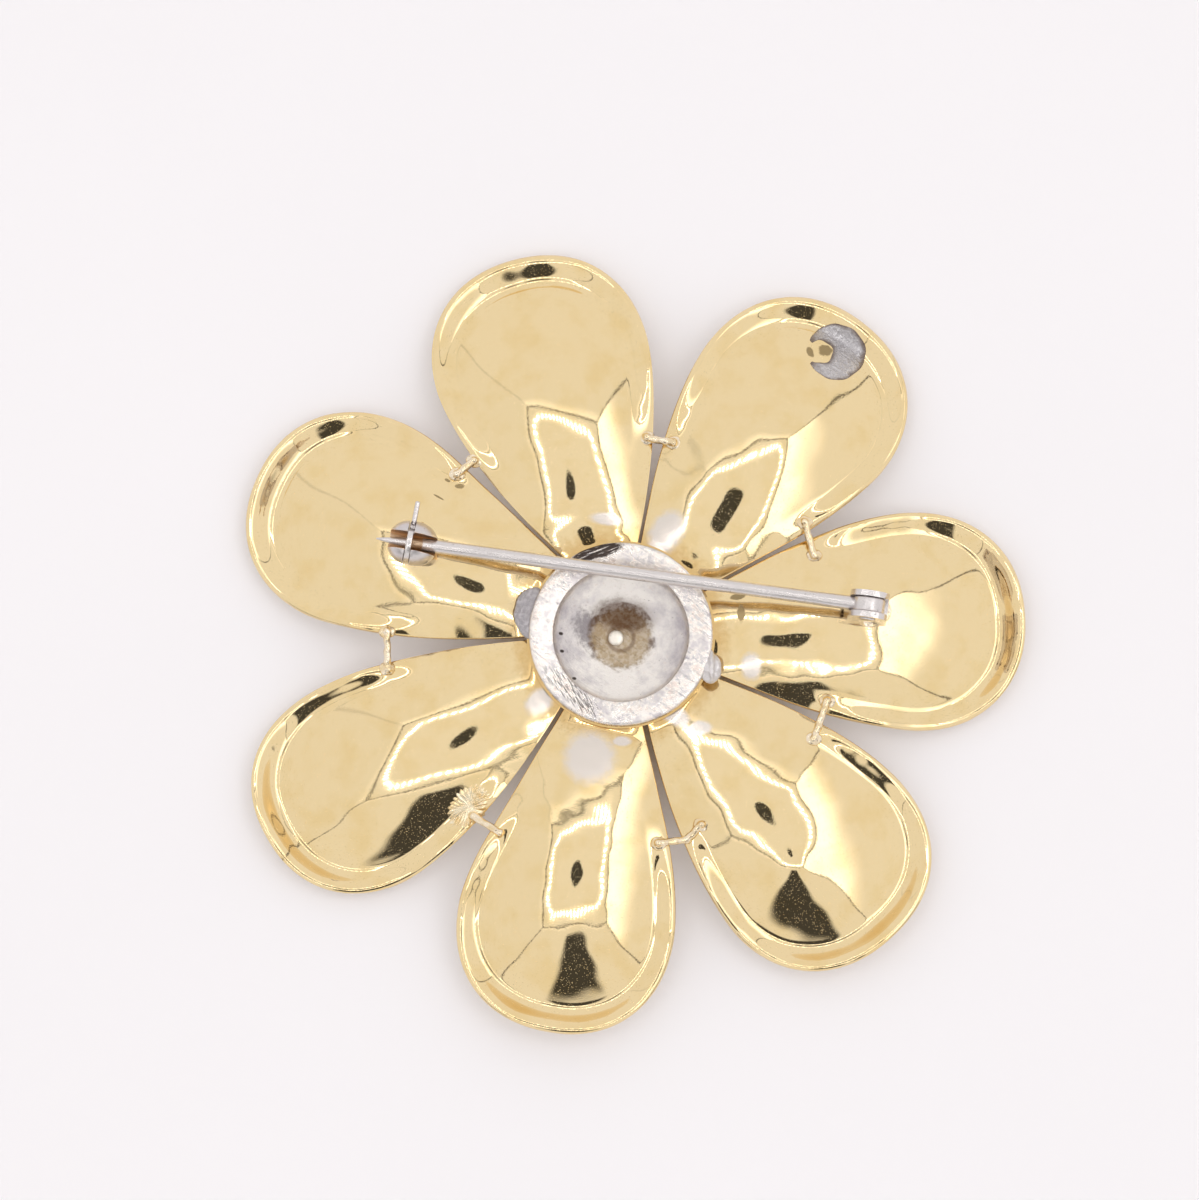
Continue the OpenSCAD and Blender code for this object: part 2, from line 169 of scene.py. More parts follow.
class Graph:
    """The node tree of one material or world."""

    def __init__(self, owner: bpy.types.Material | bpy.types.World) -> None:
        """Empties the owner's tree.

        Args:
            owner: the material or world.
        """
        owner.use_nodes = True
        self.owner = owner
        self.tree = owner.node_tree
        self.tree.nodes.clear()

    def make(self, kind: str, settings: dict[str, Any], inputs: dict[Any, Any],
             out: int | str = 0) -> Shade:
        """Adds any node.

        Args:
            kind: the node's type.
            settings: its properties, and a ramp's stops under "stops".
            inputs: values or links by the socket's name or number.
            out: the wanted output.

        Returns:
            That output.
        """
        node = self.tree.nodes.new(kind)
        for key, value in settings.items():
            if key == "stops":
                self._stops(node.color_ramp, value)
            else:
                setattr(node, key, value)
        for key, value in inputs.items():
            if isinstance(value, Shade):
                self.tree.links.new(value.socket, node.inputs[key])
            else:
                node.inputs[key].default_value = value
        return Shade(self, node.outputs[out])

    @staticmethod
    def _stops(ramp: bpy.types.ColorRamp, stops: Sequence[tuple[float, Sequence[float]]]) -> None:
        """Sets a ramp's stops.

        Args:
            ramp: the ramp.
            stops: (place, colour) pairs.
        """
        while len(ramp.elements) < len(stops):
            ramp.elements.new(0.5)
        for element, (place, colour) in zip(ramp.elements, stops):
            element.position = place
            element.color = (*colour, 1.0)

    def place(self) -> Shade:
        """The point on the piece, in mm."""
        spot = self.make("ShaderNodeTexCoord", {}, {}, "Object")
        return self.make("ShaderNodeVectorMath", {"operation": "SCALE"}, {0: spot, "Scale": 1 / MM})

    def parts(self, vector: Shade) -> tuple[Shade, Shade, Shade]:
        """The three parts of a vector."""
        node = self.make("ShaderNodeSeparateXYZ", {}, {0: vector}).socket.node
        return tuple(Shade(self, socket) for socket in node.outputs)

    def vector(self, x: Shade | float, y: Shade | float, z: Shade | float) -> Shade:
        """A vector of three parts."""
        return self.make("ShaderNodeCombineXYZ", {}, {0: x, 1: y, 2: z})

    def noise(self, place: Shade, scale: float, detail: float = 2.0, rough: float = 0.5) -> Shade:
        """Cloudy noise between 0 and 1.

        Args:
            place: where it is read.
            scale: its cells for each mm.
            detail: its octaves.
            rough: how strong the finer octaves are.

        Returns:
            The noise.
        """
        inputs = {"Vector": place, "Scale": scale, "Detail": detail, "Roughness": rough}
        return self.make("ShaderNodeTexNoise", {}, inputs)

    def scratches(self, place: Shade, turn: float, fine: float, length: float) -> Shade:
        """Fine parallel scratches as noise that is stretched along one direction.

        Args:
            place: where they are read, in mm.
            turn: their direction in plan, in degrees.
            fine: how many there are for each mm.
            length: their length in mm.

        Returns:
            Noise between 0 and 1.
        """
        settings = {"vector_type": "POINT"}
        spin = (0.0, 0.0, -math.radians(turn))
        turned = self.make("ShaderNodeMapping", settings, {"Vector": place, "Rotation": spin})
        scale = (1 / length, fine, fine)
        drawn = self.make("ShaderNodeMapping", settings, {"Vector": turned, "Scale": scale})
        return self.noise(drawn, scale=1.0, detail=3.0, rough=0.6)

    def tint(self, factor: Shade | float, low: Any, high: Any) -> Shade:
        """A colour between two colours."""
        ends = [value if isinstance(value, Shade) else (*value, 1.0) for value in (low, high)]
        return self.make("ShaderNodeMix", {"data_type": "RGBA"}, {0: factor, 6: ends[0], 7: ends[1]}, 2)

    def spot(self, x: Shade, y: Shade, at: tuple[float, float], size: tuple[float, float],
             turn: float = 0.0) -> Shade:
        """Distance from an ellipse's centre.

        Args:
            x: the point's x in mm.
            y: the point's y in mm.
            at: the ellipse's centre.
            size: its half axes.
            turn: its turn in degrees.

        Returns:
            The distance, 1 on the ellipse.
        """
        c, s = cos_sin(turn)
        u, v = x - at[0], y - at[1]
        along = (u * c + v * s) / size[0]
        across = (v * c - u * s) / size[1]
        return (along * along + across * across) ** 0.5

    def bump(self, height: Shade, depth: float) -> Shade:
        """A normal from a height of the given depth in mm."""
        return self.make("ShaderNodeBump", {}, {"Height": height, "Distance": depth * MM, "Strength": 1.0})

    def metal(self, **inputs: Any) -> None:
        """Ends a material in one metal shader.

        Args:
            **inputs: the shader's sockets by name, with _ for a space.
        """
        named = {key.replace("_", " ").title(): value for key, value in inputs.items()}
        shader = self.make("ShaderNodeBsdfPrincipled", {}, {"Metallic": 1.0, **named})
        self.make_output("ShaderNodeOutputMaterial", shader)

    def make_output(self, kind: str, shader: Shade) -> None:
        """Links the shader to an output node."""
        node = self.tree.nodes.new(kind)
        self.tree.links.new(shader.socket, node.inputs["Surface"])


# Finishes


@dataclass(frozen=True)
class GoldPlate:
    """Polished gold-coloured plating with painted amber shade at the roots, pits, fine scratches, worn
    spots and a painted highlight.
    """

    colour: tuple[float, float, float] = (0.87, 0.69, 0.40)
    deep: tuple[float, float, float] = (0.84, 0.64, 0.33)
    # Pale grey of the worn patches and of the painted highlight
    worn: tuple[float, float, float] = (0.76, 0.71, 0.69)
    dark: tuple[float, float, float] = (0.24, 0.17, 0.08)
    # Amber of the painted shade and gold reflection at the roots, round the cup
    amber: tuple[float, float, float] = (0.62, 0.36, 0.09)
    axis: tuple[float, float] = CENTRE
    # Radii in mm between which the painted root shade fades in
    painted_root_shade_r: tuple[float, float] = (10.6, 8.3)

    def build(self, name: str, worn_and_highlight_spots: Sequence[tuple[float, ...]] = (),
              stains: Sequence[tuple[float, ...]] = ()) -> bpy.types.Material:
        """Makes the plating.

        Args:
            name: the material's name.
            worn_and_highlight_spots: grey worn patches and a painted highlight as (x, y, half length, half
                width, turn) in mm and degrees.
            stains: dark patches in the same form.

        Returns:
            The material.
        """
        graph = Graph(bpy.data.materials.new(name))
        place = graph.place()
        x, y, _ = graph.parts(place)
        cloud = graph.noise(place, scale=0.35, detail=3.0)
        ragged = (graph.noise(place, scale=1.3, detail=5.0, rough=0.65) - 0.5) * 1.1
        colour = graph.tint(cloud.rise(0.42, 0.75), self.colour, self.deep)
        # Grey worn patches, and on petal 3 a pale painted highlight beside the cup
        wear_and_highlight = self._patches(graph, x, y, worn_and_highlight_spots, ragged * 0.5, outer=1.15, inner=0.6)
        stain = self._patches(graph, x, y, stains, ragged, outer=1.05, inner=0.75)
        pits = graph.noise(place, scale=5.5, detail=2.0).rise(0.74, 0.8)
        dust = graph.noise(place, scale=10.0, detail=1.0, rough=0.3).rise(0.7, 0.77)
        from_axis = graph.spot(x, y, self.axis, (1.0, 1.0))
        # Painted shade: the plating turns amber near the axis, where the roots run under the cup's flange
        painted_root_shade = (from_axis + ragged * 3.0).rise(*self.painted_root_shade_r)
        colour = graph.tint(painted_root_shade * 0.55, colour, self.amber)
        colour = graph.tint(wear_and_highlight * 0.85, colour, self.worn)
        colour = graph.tint((stain * 0.8 + pits * 0.25).clipped(), colour, self.dark)
        hair = graph.scratches(place, turn=28.0, fine=9.0, length=6.0)
        cross = graph.scratches(place, turn=-52.0, fine=7.0, length=9.0)
        lines = hair.rise(0.68, 0.74) + cross.rise(0.69, 0.75)
        rough = cloud * 0.02 + wear_and_highlight * 0.16 + stain * 0.3 + lines * 0.03 + 0.02
        grain = graph.noise(place, scale=7.0, detail=2.0, rough=0.5)
        height = grain * 0.6 + hair * 0.2 + pits * -0.8 + ragged * wear_and_highlight + dust * 8.0
        normal = graph.bump(height, depth=0.0018)
        graph.metal(base_color=colour, roughness=rough, normal=normal)
        return graph.owner

    @staticmethod
    def _patches(graph: Graph, x: Shade, y: Shade, spots: Sequence[tuple[float, ...]],
                 ragged: Shade, outer: float, inner: float) -> Shade:
        """A mask of ragged patches.

        Args:
            graph: the material's graph.
            x: the point's x in mm.
            y: the point's y in mm.
            spots: the patches as (x, y, half length, half width, turn).
            ragged: noise that breaks their outlines.
            outer: where a patch starts, in parts of its size.
            inner: where it is whole.

        Returns:
            One inside a patch.
        """
        mask = x * 0.0
        for at_x, at_y, length, width, turn in spots:
            far = graph.spot(x, y, (at_x, at_y), (length, width), turn)
            mask = mask.most((far + ragged).rise(outer, inner))
        return mask


@dataclass(frozen=True)
class PlainGold:
    """Gold plating of the small soldered bars, with pits and flux marks."""

    colour: tuple[float, float, float] = (0.84, 0.66, 0.40)
    pale: tuple[float, float, float] = (0.92, 0.80, 0.62)
    dark: tuple[float, float, float] = (0.22, 0.14, 0.06)

    def build(self, name: str) -> bpy.types.Material:
        """Makes the finish of the bars.

        Args:
            name: the material's name.

        Returns:
            The material.
        """
        graph = Graph(bpy.data.materials.new(name))
        place = graph.place()
        cloud = graph.noise(place, scale=1.1, detail=3.0)
        pits = graph.noise(place, scale=2.6, detail=4.0, rough=0.6).rise(0.62, 0.7)
        colour = graph.tint(cloud.rise(0.35, 0.65), self.colour, self.pale)
        colour = graph.tint(pits * 0.75, colour, self.dark)
        height = graph.noise(place, scale=4.0, detail=3.0) - pits * 0.5
        graph.metal(base_color=colour, roughness=cloud * 0.12 + 0.14, normal=graph.bump(height, depth=0.03))
        return graph.owner


Mark = tuple[tuple[float, float], tuple[float, float], float]


@dataclass(frozen=True)
class CastSilver:
    """Cast cup metal: scratched flange, bowl with painted light and painted grey side shade, brown floor of
    tarnish and painted shade.

    A mark is an ellipse: its place from the cup's axis, its half sizes and its turn.
    """

    axis: tuple[float, float]
    bright: tuple[float, float, float] = (0.92, 0.87, 0.82)
    # Cream of the bowl, lighter than the flange: painted light
    painted_lit_cream: tuple[float, float, float] = (1.0, 0.96, 0.92)
    # Grey of the flange's patches and of the painted shade on the bowl's sides
    grey: tuple[float, float, float] = (0.50, 0.46, 0.50)
    pink: tuple[float, float, float] = (0.78, 0.66, 0.60)
    # Dark grey of the painted shade on the bowl's left wall
    painted_shade_grey: tuple[float, float, float] = (0.24, 0.21, 0.23)
    # Khaki and brown of the floor's tarnish and painted shade; brown also draws the ring round the rivet
    khaki: tuple[float, float, float] = (0.36, 0.26, 0.14)
    brown: tuple[float, float, float] = (0.12, 0.06, 0.03)
    # Near black of the marks and of the painted reflection on the flange
    dark: tuple[float, float, float] = (0.05, 0.035, 0.03)
    floor_r: float = 2.85
    bowl_r: float = 6.1
    ring_r: float = 1.15
    # Where the painted shade on the bowl's left wall lies
    painted_left_shade: Mark = ((-2.9, 0.7), (1.5, 2.1), 20.0)
    # Tarnish and painted shade above the floor's middle
    upper_tarnish_and_shade: Mark = ((0.2, 2.0), (2.9, 1.6), -8.0)
    # Where the painted reflection of something dark lies on the flange
    patch: Mark = ((-2.1, 7.45), (2.3, 0.62), 15.0)
    cuts: Mark = ((-4.4, -5.3), (3.4, 0.9), -42.0)
    pits: tuple[tuple[float, float], ...] = ((-5.4, 0.2), (-5.3, -1.4), (-4.2, -3.9))
    pit_size: tuple[float, float] = (0.2, 0.15)

    def build(self, name: str) -> bpy.types.Material:
        """Makes the cast metal.

        Args:
            name: the material's name.

        Returns:
            The material.
        """
        graph = Graph(bpy.data.materials.new(name))
        place = graph.place()
        x, y, _ = graph.parts(place)
        u, v = x - self.axis[0], y - self.axis[1]
        far = (u * u + v * v) ** 0.5
        cloud = graph.noise(place, scale=0.45, detail=5.0, rough=0.6)
        fine = graph.noise(place, scale=2.4, detail=5.0, rough=0.65)
        in_bowl = far.rise(self.bowl_r, self.bowl_r - 0.5)
        broad = graph.noise(place, scale=0.9, detail=4.0, rough=0.7)
        # Painted shade: grey that grows towards the bowl's left and right walls
        sides = (abs(u) * 0.2 + cloud * 1.6 + broad * 0.8 - 1.55).clipped() * 0.9
        # Painted shade: the bowl's left wall darkens to grey here
        painted_left_shade = self._far(graph, x, y, self.painted_left_shade)
        lines = graph.scratches(place, turn=-35.0, fine=3.0, length=5.0).rise(0.56, 0.66)
        patches = (broad.rise(0.44, 0.66) * 0.6 + fine.rise(0.56, 0.72) * 0.25 + lines * 0.3).clipped()
        # Painted light: the bowl is a lighter cream than the flange
        base = graph.tint(in_bowl, self.bright, self.painted_lit_cream)
        colour = graph.tint(patches * (1.0 - in_bowl) + sides * in_bowl, base, self.grey)
        rust = broad.rise(0.49, 0.36) * (1.0 - in_bowl) * 0.8 + fine.rise(0.42, 0.32) * 0.4
        colour = graph.tint(rust.clipped() * 0.75, colour, self.pink)
        colour = graph.tint((painted_left_shade + (fine - 0.5) * 1.4).rise(1.15, 0.45) * 0.8, colour, self.painted_shade_grey)
        # Tarnish and painted shade: khaki on the deep floor, which gets little light
        floor = (far / self.floor_r + (fine - 0.5) * 0.35).rise(1.1, 0.84)
        mottle = fine.rise(0.4, 0.6) * 0.15
        colour = graph.tint(floor * (0.9 - mottle), colour, self.khaki)
        # Tarnish and painted shade: brown above the floor's middle and in spots round its edge
        upper_tarnish_and_shade = self._far(graph, x, y, self.upper_tarnish_and_shade)
        rim_spots = (abs(far - self.floor_r) / 0.5).rise(1.0, 0.3) * cloud.rise(0.48, 0.6)
        brown = ((upper_tarnish_and_shade + (broad - 0.5) * 0.9).rise(1.25, 0.45) + rim_spots * 0.8).clipped()
        colour = graph.tint(brown * (0.92 - mottle), colour, self.brown)
        # Dark marks on the flange, and the painted reflection of something dark there
        dark_marks_and_reflection = self._marks_and_reflection(graph, place, x, y, fine)
        colour = graph.tint(dark_marks_and_reflection * 0.98, colour, self.dark)
        ring = (abs(far - self.ring_r) / 0.3).rise(1.0, 0.2) * 0.5
        colour = graph.tint(ring, colour, self.brown)
        hatch = graph.scratches(place, turn=55.0, fine=5.0, length=2.5)
        rough = cloud * 0.1 + in_bowl * 0.12 + brown * 0.15 + 0.22
        height = fine * 0.9 + hatch * 0.6 + broad * 0.25 - dark_marks_and_reflection * 0.6 - lines * 0.4
        dull = 1.0 - in_bowl * 0.8 * (1.0 - floor)
        normal = graph.bump(height, depth=0.06)
        graph.metal(base_color=colour, roughness=rough, metallic=dull, normal=normal)
        return graph.owner

    def _far(self, graph: Graph, x: Shade, y: Shade, mark: Mark) -> Shade:
        """Distance from a mark's middle, 1 on its ellipse."""
        (u, v), size, turn = mark
        return graph.spot(x, y, (self.axis[0] + u, self.axis[1] + v), size, turn)

    def _marks_and_reflection(self, graph: Graph, place: Shade, x: Shade, y: Shade, fine: Shade) -> Shade:
        """The painted reflection of something dark on the flange, broken by scratches, short cuts at the
        lower left, and pits.

        Args:
            graph: the material's graph.
            place: the point in mm.
            x: its x.
            y: its y.
            fine: fine noise that breaks the outlines.

        Returns:
            One inside a mark.
        """
        # Painted reflection of something dark on the flange, broken by scratches
        patch = self._far(graph, x, y, self.patch)
        scrape = graph.scratches(place, turn=20.0, fine=6.0, length=2.5).rise(0.56, 0.62)
        marks = (patch + (fine - 0.5) * 0.8).rise(1.1, 0.85) * (1.0 - scrape * 0.8)
        cuts = self._far(graph, x, y, self.cuts).rise(1.2, 0.7)
        short = graph.scratches(place, turn=120.0, fine=9.0, length=1.2).rise(0.52, 0.6)
        marks = marks.most(cuts * short * 0.7)
        specks = graph.noise(place, scale=3.2, detail=3.0, rough=0.7).rise(0.68, 0.73)
        for at in self.pits:
            marks = marks.most(self._far(graph, x, y, (at, self.pit_size, 0.0)).rise(1.1, 0.8))
        return marks.most(specks * 0.6)


@dataclass(frozen=True)
class PinSteel:
    """Nickel-plated steel with brush marks along one direction, worn to brass at one place."""

    turn: float
    colour: tuple[float, float, float] = (0.78, 0.74, 0.72)
    grey: tuple[float, float, float] = (0.56, 0.52, 0.54)
    brass: tuple[float, float, float] = (0.78, 0.56, 0.36)
    dark: tuple[float, float, float] = (0.16, 0.13, 0.12)

    def build(self, name: str, grey: float = 0.3, rough: float = 0.2,
              worn_at: tuple[float, float] | None = None,
              worn_half: tuple[float, float] = (0.62, 0.9)) -> bpy.types.Material:
        """Makes the steel.

        Args:
            name: the material's name.
            grey: how grey it is, from 0 to 1.
            rough: its roughness.
            worn_at: where the plating is worn through, as x and y in mm.
            worn_half: half sizes of that place, along the brush marks and across them.

        Returns:
            The material.
        """
        graph = Graph(bpy.data.materials.new(name))
        place = graph.place()
        x, y, _ = graph.parts(place)
        brush = graph.scratches(place, self.turn, fine=11.0, length=5.0)
        cloud = graph.noise(place, scale=0.8, detail=4.0, rough=0.6)
        colour = graph.tint((cloud * 0.6 + grey - 0.3).clipped(), self.colour, self.grey)
        pits = graph.noise(place, scale=3.1, detail=3.0, rough=0.6).rise(0.68, 0.74)
        colour = graph.tint((pits * 0.7 + brush.rise(0.62, 0.8) * 0.35).clipped(), colour, self.dark)
        if worn_at:
            far = graph.spot(x, y, worn_at, worn_half, self.turn)
            worn = (far + (cloud - 0.5) * 0.4).rise(1.05, 0.85)
            colour = graph.tint(worn * 0.9, colour, self.brass)
        height = brush * 0.8 + graph.noise(place, scale=2.0, detail=3.0) * 0.3 - pits * 0.5
        shine = brush * 0.12 + cloud * 0.08 + rough - 0.1
        graph.metal(base_color=colour, roughness=shine, normal=graph.bump(height, depth=0.02))
        return graph.owner


@dataclass(frozen=True)
class GreySolder:
    """Dull grey solder with scratches and pits, dark where its piece's own edge mark is."""

    colour: tuple[float, float, float] = (0.46, 0.44, 0.46)
    light: tuple[float, float, float] = (0.70, 0.68, 0.69)
    rust: tuple[float, float, float] = (0.16, 0.11, 0.08)

    def build(self, name: str) -> bpy.types.Material:
        """Makes the solder.

        Args:
            name: the material's name.

        Returns:
            The material.
        """
        graph = Graph(bpy.data.materials.new(name))
        place = graph.place()
        cloud = graph.noise(place, scale=1.0, detail=4.0, rough=0.6)
        lines = graph.scratches(place, turn=60.0, fine=7.0, length=2.0)
        blotch = graph.noise(place, scale=2.8, detail=4.0, rough=0.7).rise(0.4, 0.6)
        mixed = cloud * 0.5 + lines * 0.6 + blotch * 0.4 - 0.3
        colour = graph.tint(mixed.clipped(), self.colour, self.light)
        edge = graph.make("ShaderNodeAttribute", {"attribute_name": "edge"}, {}, "Fac")
        rust = (edge + (cloud - 0.5) * 0.5).rise(0.55, 0.95)
        colour = graph.tint(rust * 0.9, colour, self.rust)
        height = lines * 0.8 + cloud * 0.5 + blotch * 0.7
        graph.metal(base_color=colour, roughness=cloud * 0.2 + 0.25, normal=graph.bump(height, depth=0.05))
        return graph.owner


@dataclass(frozen=True)
class WhitePaper:
    """The white paper that the brooch lies on; it glows a little, and a painted shadow takes the glow away
    under the brooch.
    """

    colour: tuple[float, float, float] = (0.88, 0.855, 0.875)
    glow: float = 0.18
    power: float = 1.4
    # Radii in mm between which the painted shadow under the brooch gives way to the glow
    painted_shadow_r: tuple[float, float] = (7.0, 22.0)

    def build(self, name: str) -> bpy.types.Material:
        """Makes the paper.

        Args:
            name: the material's name.

        Returns:
            The material.
        """
        graph = Graph(bpy.data.materials.new(name))
        place = graph.place()
        x, y, _ = graph.parts(place)
        # Painted shadow: the glow fades out towards the middle, under the brooch
        outside_painted_shadow = ((x * x + y * y) ** 0.5).rise(*self.painted_shadow_r)
        tone = graph.noise(place, scale=0.02, detail=2.0)
        shade = tuple(0.97 * part for part in self.colour)
        colour = graph.tint(tone, shade, self.colour)
        shader = graph.make("ShaderNodeBsdfDiffuse", {}, {"Color": colour})
        glow = graph.make("ShaderNodeEmission", {}, {"Color": colour, "Strength": self.power})
        mixed = graph.make("ShaderNodeMixShader", {}, {0: outside_painted_shadow * self.glow, 1: shader, 2: glow})
        graph.make_output("ShaderNodeOutputMaterial", mixed)
        return graph.owner


# Modelling bench


# Solder has no crisp edges, so nearly all of it is shaded smooth
SOLDER_ANGLE = 80.0


class Bench:
    """Blender's modelling operators, used on one piece at a time."""

    @staticmethod
    def take(piece: bpy.types.Object) -> None:
        """Makes the piece the only selected one.

        Args:
            piece: the piece.
        """
        bpy.ops.object.select_all(action="DESELECT")
        piece.select_set(True)
        bpy.context.view_layer.objects.active = piece

    @staticmethod
    def add(primitive: Callable[..., Any], name: str, **settings: Any) -> bpy.types.Object:
        """Adds one of Blender's primitives under a name.

        Args:
            primitive: the operator that adds it.
            name: the piece's name.
            **settings: the operator's settings.

        Returns:
            The piece.
        """
        bpy.ops.object.select_all(action="DESELECT")
        primitive(**settings)
        piece = bpy.context.view_layer.objects.active
        piece.name = piece.data.name = name
        return piece

    @classmethod
    @contextmanager
    def editing(cls, piece: bpy.types.Object, mode: str = "VERT") -> Iterator[None]:
        """Holds the piece in edit mode with all of it selected.

        Args:
            piece: the piece.
            mode: what is selected, as VERT, EDGE or FACE.
        """
        cls.take(piece)
        bpy.ops.object.mode_set(mode="EDIT")
        bpy.ops.mesh.select_mode(type=mode)
        bpy.ops.mesh.select_all(action="SELECT")
        yield
        bpy.ops.object.mode_set(mode="OBJECT")

    @staticmethod
    def face_out() -> None:
        """Turns the faces of the piece that is being edited outwards."""
        bpy.ops.mesh.select_all(action="SELECT")
        bpy.ops.mesh.normals_make_consistent(inside=False)

    @classmethod
    def modify(cls, piece: bpy.types.Object, kind: str, **settings: Any) -> None:
        """Adds a modifier and applies it.

        Args:
            piece: the piece.
            kind: the modifier's type.
            **settings: its settings.
        """
        cls.take(piece)
        modifier = piece.modifiers.new(kind.lower(), kind)
        for key, value in settings.items():
            setattr(modifier, key, value)
        bpy.ops.object.modifier_apply(modifier=modifier.name)

    @classmethod
    def settle(cls, piece: bpy.types.Object, matrix: Matrix) -> None:
        """Puts the piece at its place and leaves its object at the origin.

        Args:
            piece: the piece.
            matrix: its place.
        """
        cls.take(piece)
        piece.matrix_world = matrix
        bpy.ops.object.transform_apply(location=True, rotation=True, scale=True)

    @classmethod
    def smooth(cls, piece: bpy.types.Object, angle: float = 35.0) -> None:
        """Shades the piece smooth except across edges sharper than the angle."""
        cls.take(piece)
        bpy.ops.object.shade_smooth_by_angle(angle=math.radians(angle))

    @classmethod
    def soften(cls, piece: bpy.types.Object, width: float, segments: int = 2, angle: float = 40.0) -> None:
        """Rounds the piece's sharp edges by a width in mm."""
        cls.modify(piece, "BEVEL", width=width * MM, segments=segments, limit_method="ANGLE",
                   angle_limit=math.radians(angle), harden_normals=False)

    @classmethod
    def combine(cls, piece: bpy.types.Object, other: bpy.types.Object, how: Wall) -> None:
        """Fuses the other solid with the piece or cuts it away, and deletes it."""
        cls.modify(piece, "BOOLEAN", object=other, operation=how.value, solver="EXACT")
        bpy.data.objects.remove(other, do_unlink=True)

    @classmethod
    def turned(cls, name: str, profile: Sequence[tuple[float, float]], sides: int = 64) -> bpy.types.Object:
        """Turns a closed piece about Z.

        Args:
            name: the piece's name.
            profile: (radius, height) steps in mm from one end to the other.
            sides: how many sides the turning has.

        Returns:
            The piece.
        """
        radius, height = profile[0]
        piece = cls.add(bpy.ops.mesh.primitive_circle_add, name, vertices=sides, radius=radius * MM,
                        fill_type="NOTHING", location=(0, 0, height * MM))
        cls.settle(piece, piece.matrix_world.copy())
        with cls.editing(piece, "EDGE"):
            for wide, high in profile[1:]:
                up = (0, 0, (high - height) * MM)
                bpy.ops.mesh.extrude_edges_move(TRANSFORM_OT_translate={"value": up})
                grow = wide / radius
                bpy.ops.transform.resize(value=(grow, grow, 1), center_override=(0, 0, high * MM))
                radius, height = wide, high
            bpy.ops.mesh.select_all(action="SELECT")
            bpy.ops.mesh.fill_holes(sides=0)
            cls.face_out()
        return piece

    @classmethod
    def rod(cls, name: str, radius: float, start: Sequence[float], end: Sequence[float],
            sides: int = 48) -> bpy.types.Object:
        """A round rod between two points.

        Args:
            name: the rod's name.
            radius: its radius in mm.
            start: one end in mm.
            end: the other end in mm.
            sides: how many sides it has.

        Returns:
            The rod.
        """
        way = Vector(end) - Vector(start)
        piece = cls.add(bpy.ops.mesh.primitive_cylinder_add, name, vertices=sides, radius=radius * MM,
                        depth=way.length * MM)
        middle = Matrix.Translation((Vector(start) + Vector(end)) / 2 * MM)
        cls.settle(piece, middle @ way.to_track_quat("Z", "Y").to_matrix().to_4x4())
        return piece

    @classmethod
    def block(cls, name: str, low: Sequence[float], high: Sequence[float]) -> bpy.types.Object:
        """A block between two corners.

        Args:
            name: the block's name.
            low: its lowest corner in mm.
            high: its highest corner in mm.

        Returns:
            The block.
        """
        middle = [(a + b) / 2 * MM for a, b in zip(low, high)]
        piece = cls.add(bpy.ops.mesh.primitive_cube_add, name, size=1, location=middle)
        piece.scale = [(b - a) * MM for a, b in zip(low, high)]
        bpy.context.view_layer.update()
        cls.settle(piece, piece.matrix_world.copy())
        return piece

    @classmethod
    def blob(cls, name: str, middle: Sequence[float], half: Sequence[float]) -> bpy.types.Object:
        """A flattened ball of solder.

        Args:
            name: the ball's name.
            middle: its centre in mm.
            half: its half sizes in mm.

        Returns:
            The ball.
        """
        piece = cls.add(bpy.ops.mesh.primitive_uv_sphere_add, name, segments=32, ring_count=16, radius=MM)
        cls.settle(piece, Matrix.Translation(Vector(middle) * MM) @ Matrix.Diagonal((*half, 1)))
        return piece

    @classmethod
    def melt(cls, piece: bpy.types.Object, others: Sequence[bpy.types.Object], grain: float) -> None:
        """Melts pieces into one skin, as solder runs.

        Args:
            piece: the piece that stays.
            others: the pieces that run into it.
            grain: the size of the skin's cells in mm.
        """
        cls.take(piece)
        for other in others:
            other.select_set(True)
        if others:
            bpy.ops.object.join()
        cls.modify(piece, "REMESH", mode="VOXEL", voxel_size=grain * MM)
        cls.modify(piece, "SMOOTH", factor=0.5, iterations=6)

    @classmethod
    def pool(cls, name: str, middle: Sequence[float], half: Sequence[float], frame_at: Matrix,
             seed: int) -> bpy.types.Object:
        """A shallow pool of solder under a soldered part.

        Args:
            name: the piece's name.
            middle: its centre in mm, in the part's own frame.
            half: its half sizes in mm.
            frame_at: the part's frame.
            seed: which waves make it uneven.

        Returns:
            The pool.
        """
        pool = cls.blob(name, middle, half)
        cls.melt(pool, [], grain=0.08)
        cls.settle(pool, frame_at)
        cls.roughen(pool, depth=0.06, size=1.0, seed=seed)
        cls.smooth(pool, angle=SOLDER_ANGLE)
        return pool

    @classmethod
    def strip(cls, name: str, along: int, across: int) -> bpy.types.Object:
        """A flat grid with that many cells, 1 m square, that is bent to shape afterwards."""
        return cls.add(bpy.ops.mesh.primitive_grid_add, name, x_subdivisions=along, y_subdivisions=across,
                       size=1)

    @classmethod
    def thicken(cls, piece: bpy.types.Object, sheet: float, merge: float) -> None:
        """Closes a bent strip's seams and gives it a thickness downwards.

        Args:
            piece: the strip.
            sheet: its thickness in mm.
            merge: how near points are merged, in mm.
        """
        with cls.editing(piece, "FACE"):
            bpy.ops.mesh.remove_doubles(threshold=merge * MM)
            bpy.ops.mesh.select_all(action="SELECT")
            down = (0, 0, -sheet * MM)
            bpy.ops.mesh.extrude_region_move(TRANSFORM_OT_translate={"value": down})
            cls.face_out()

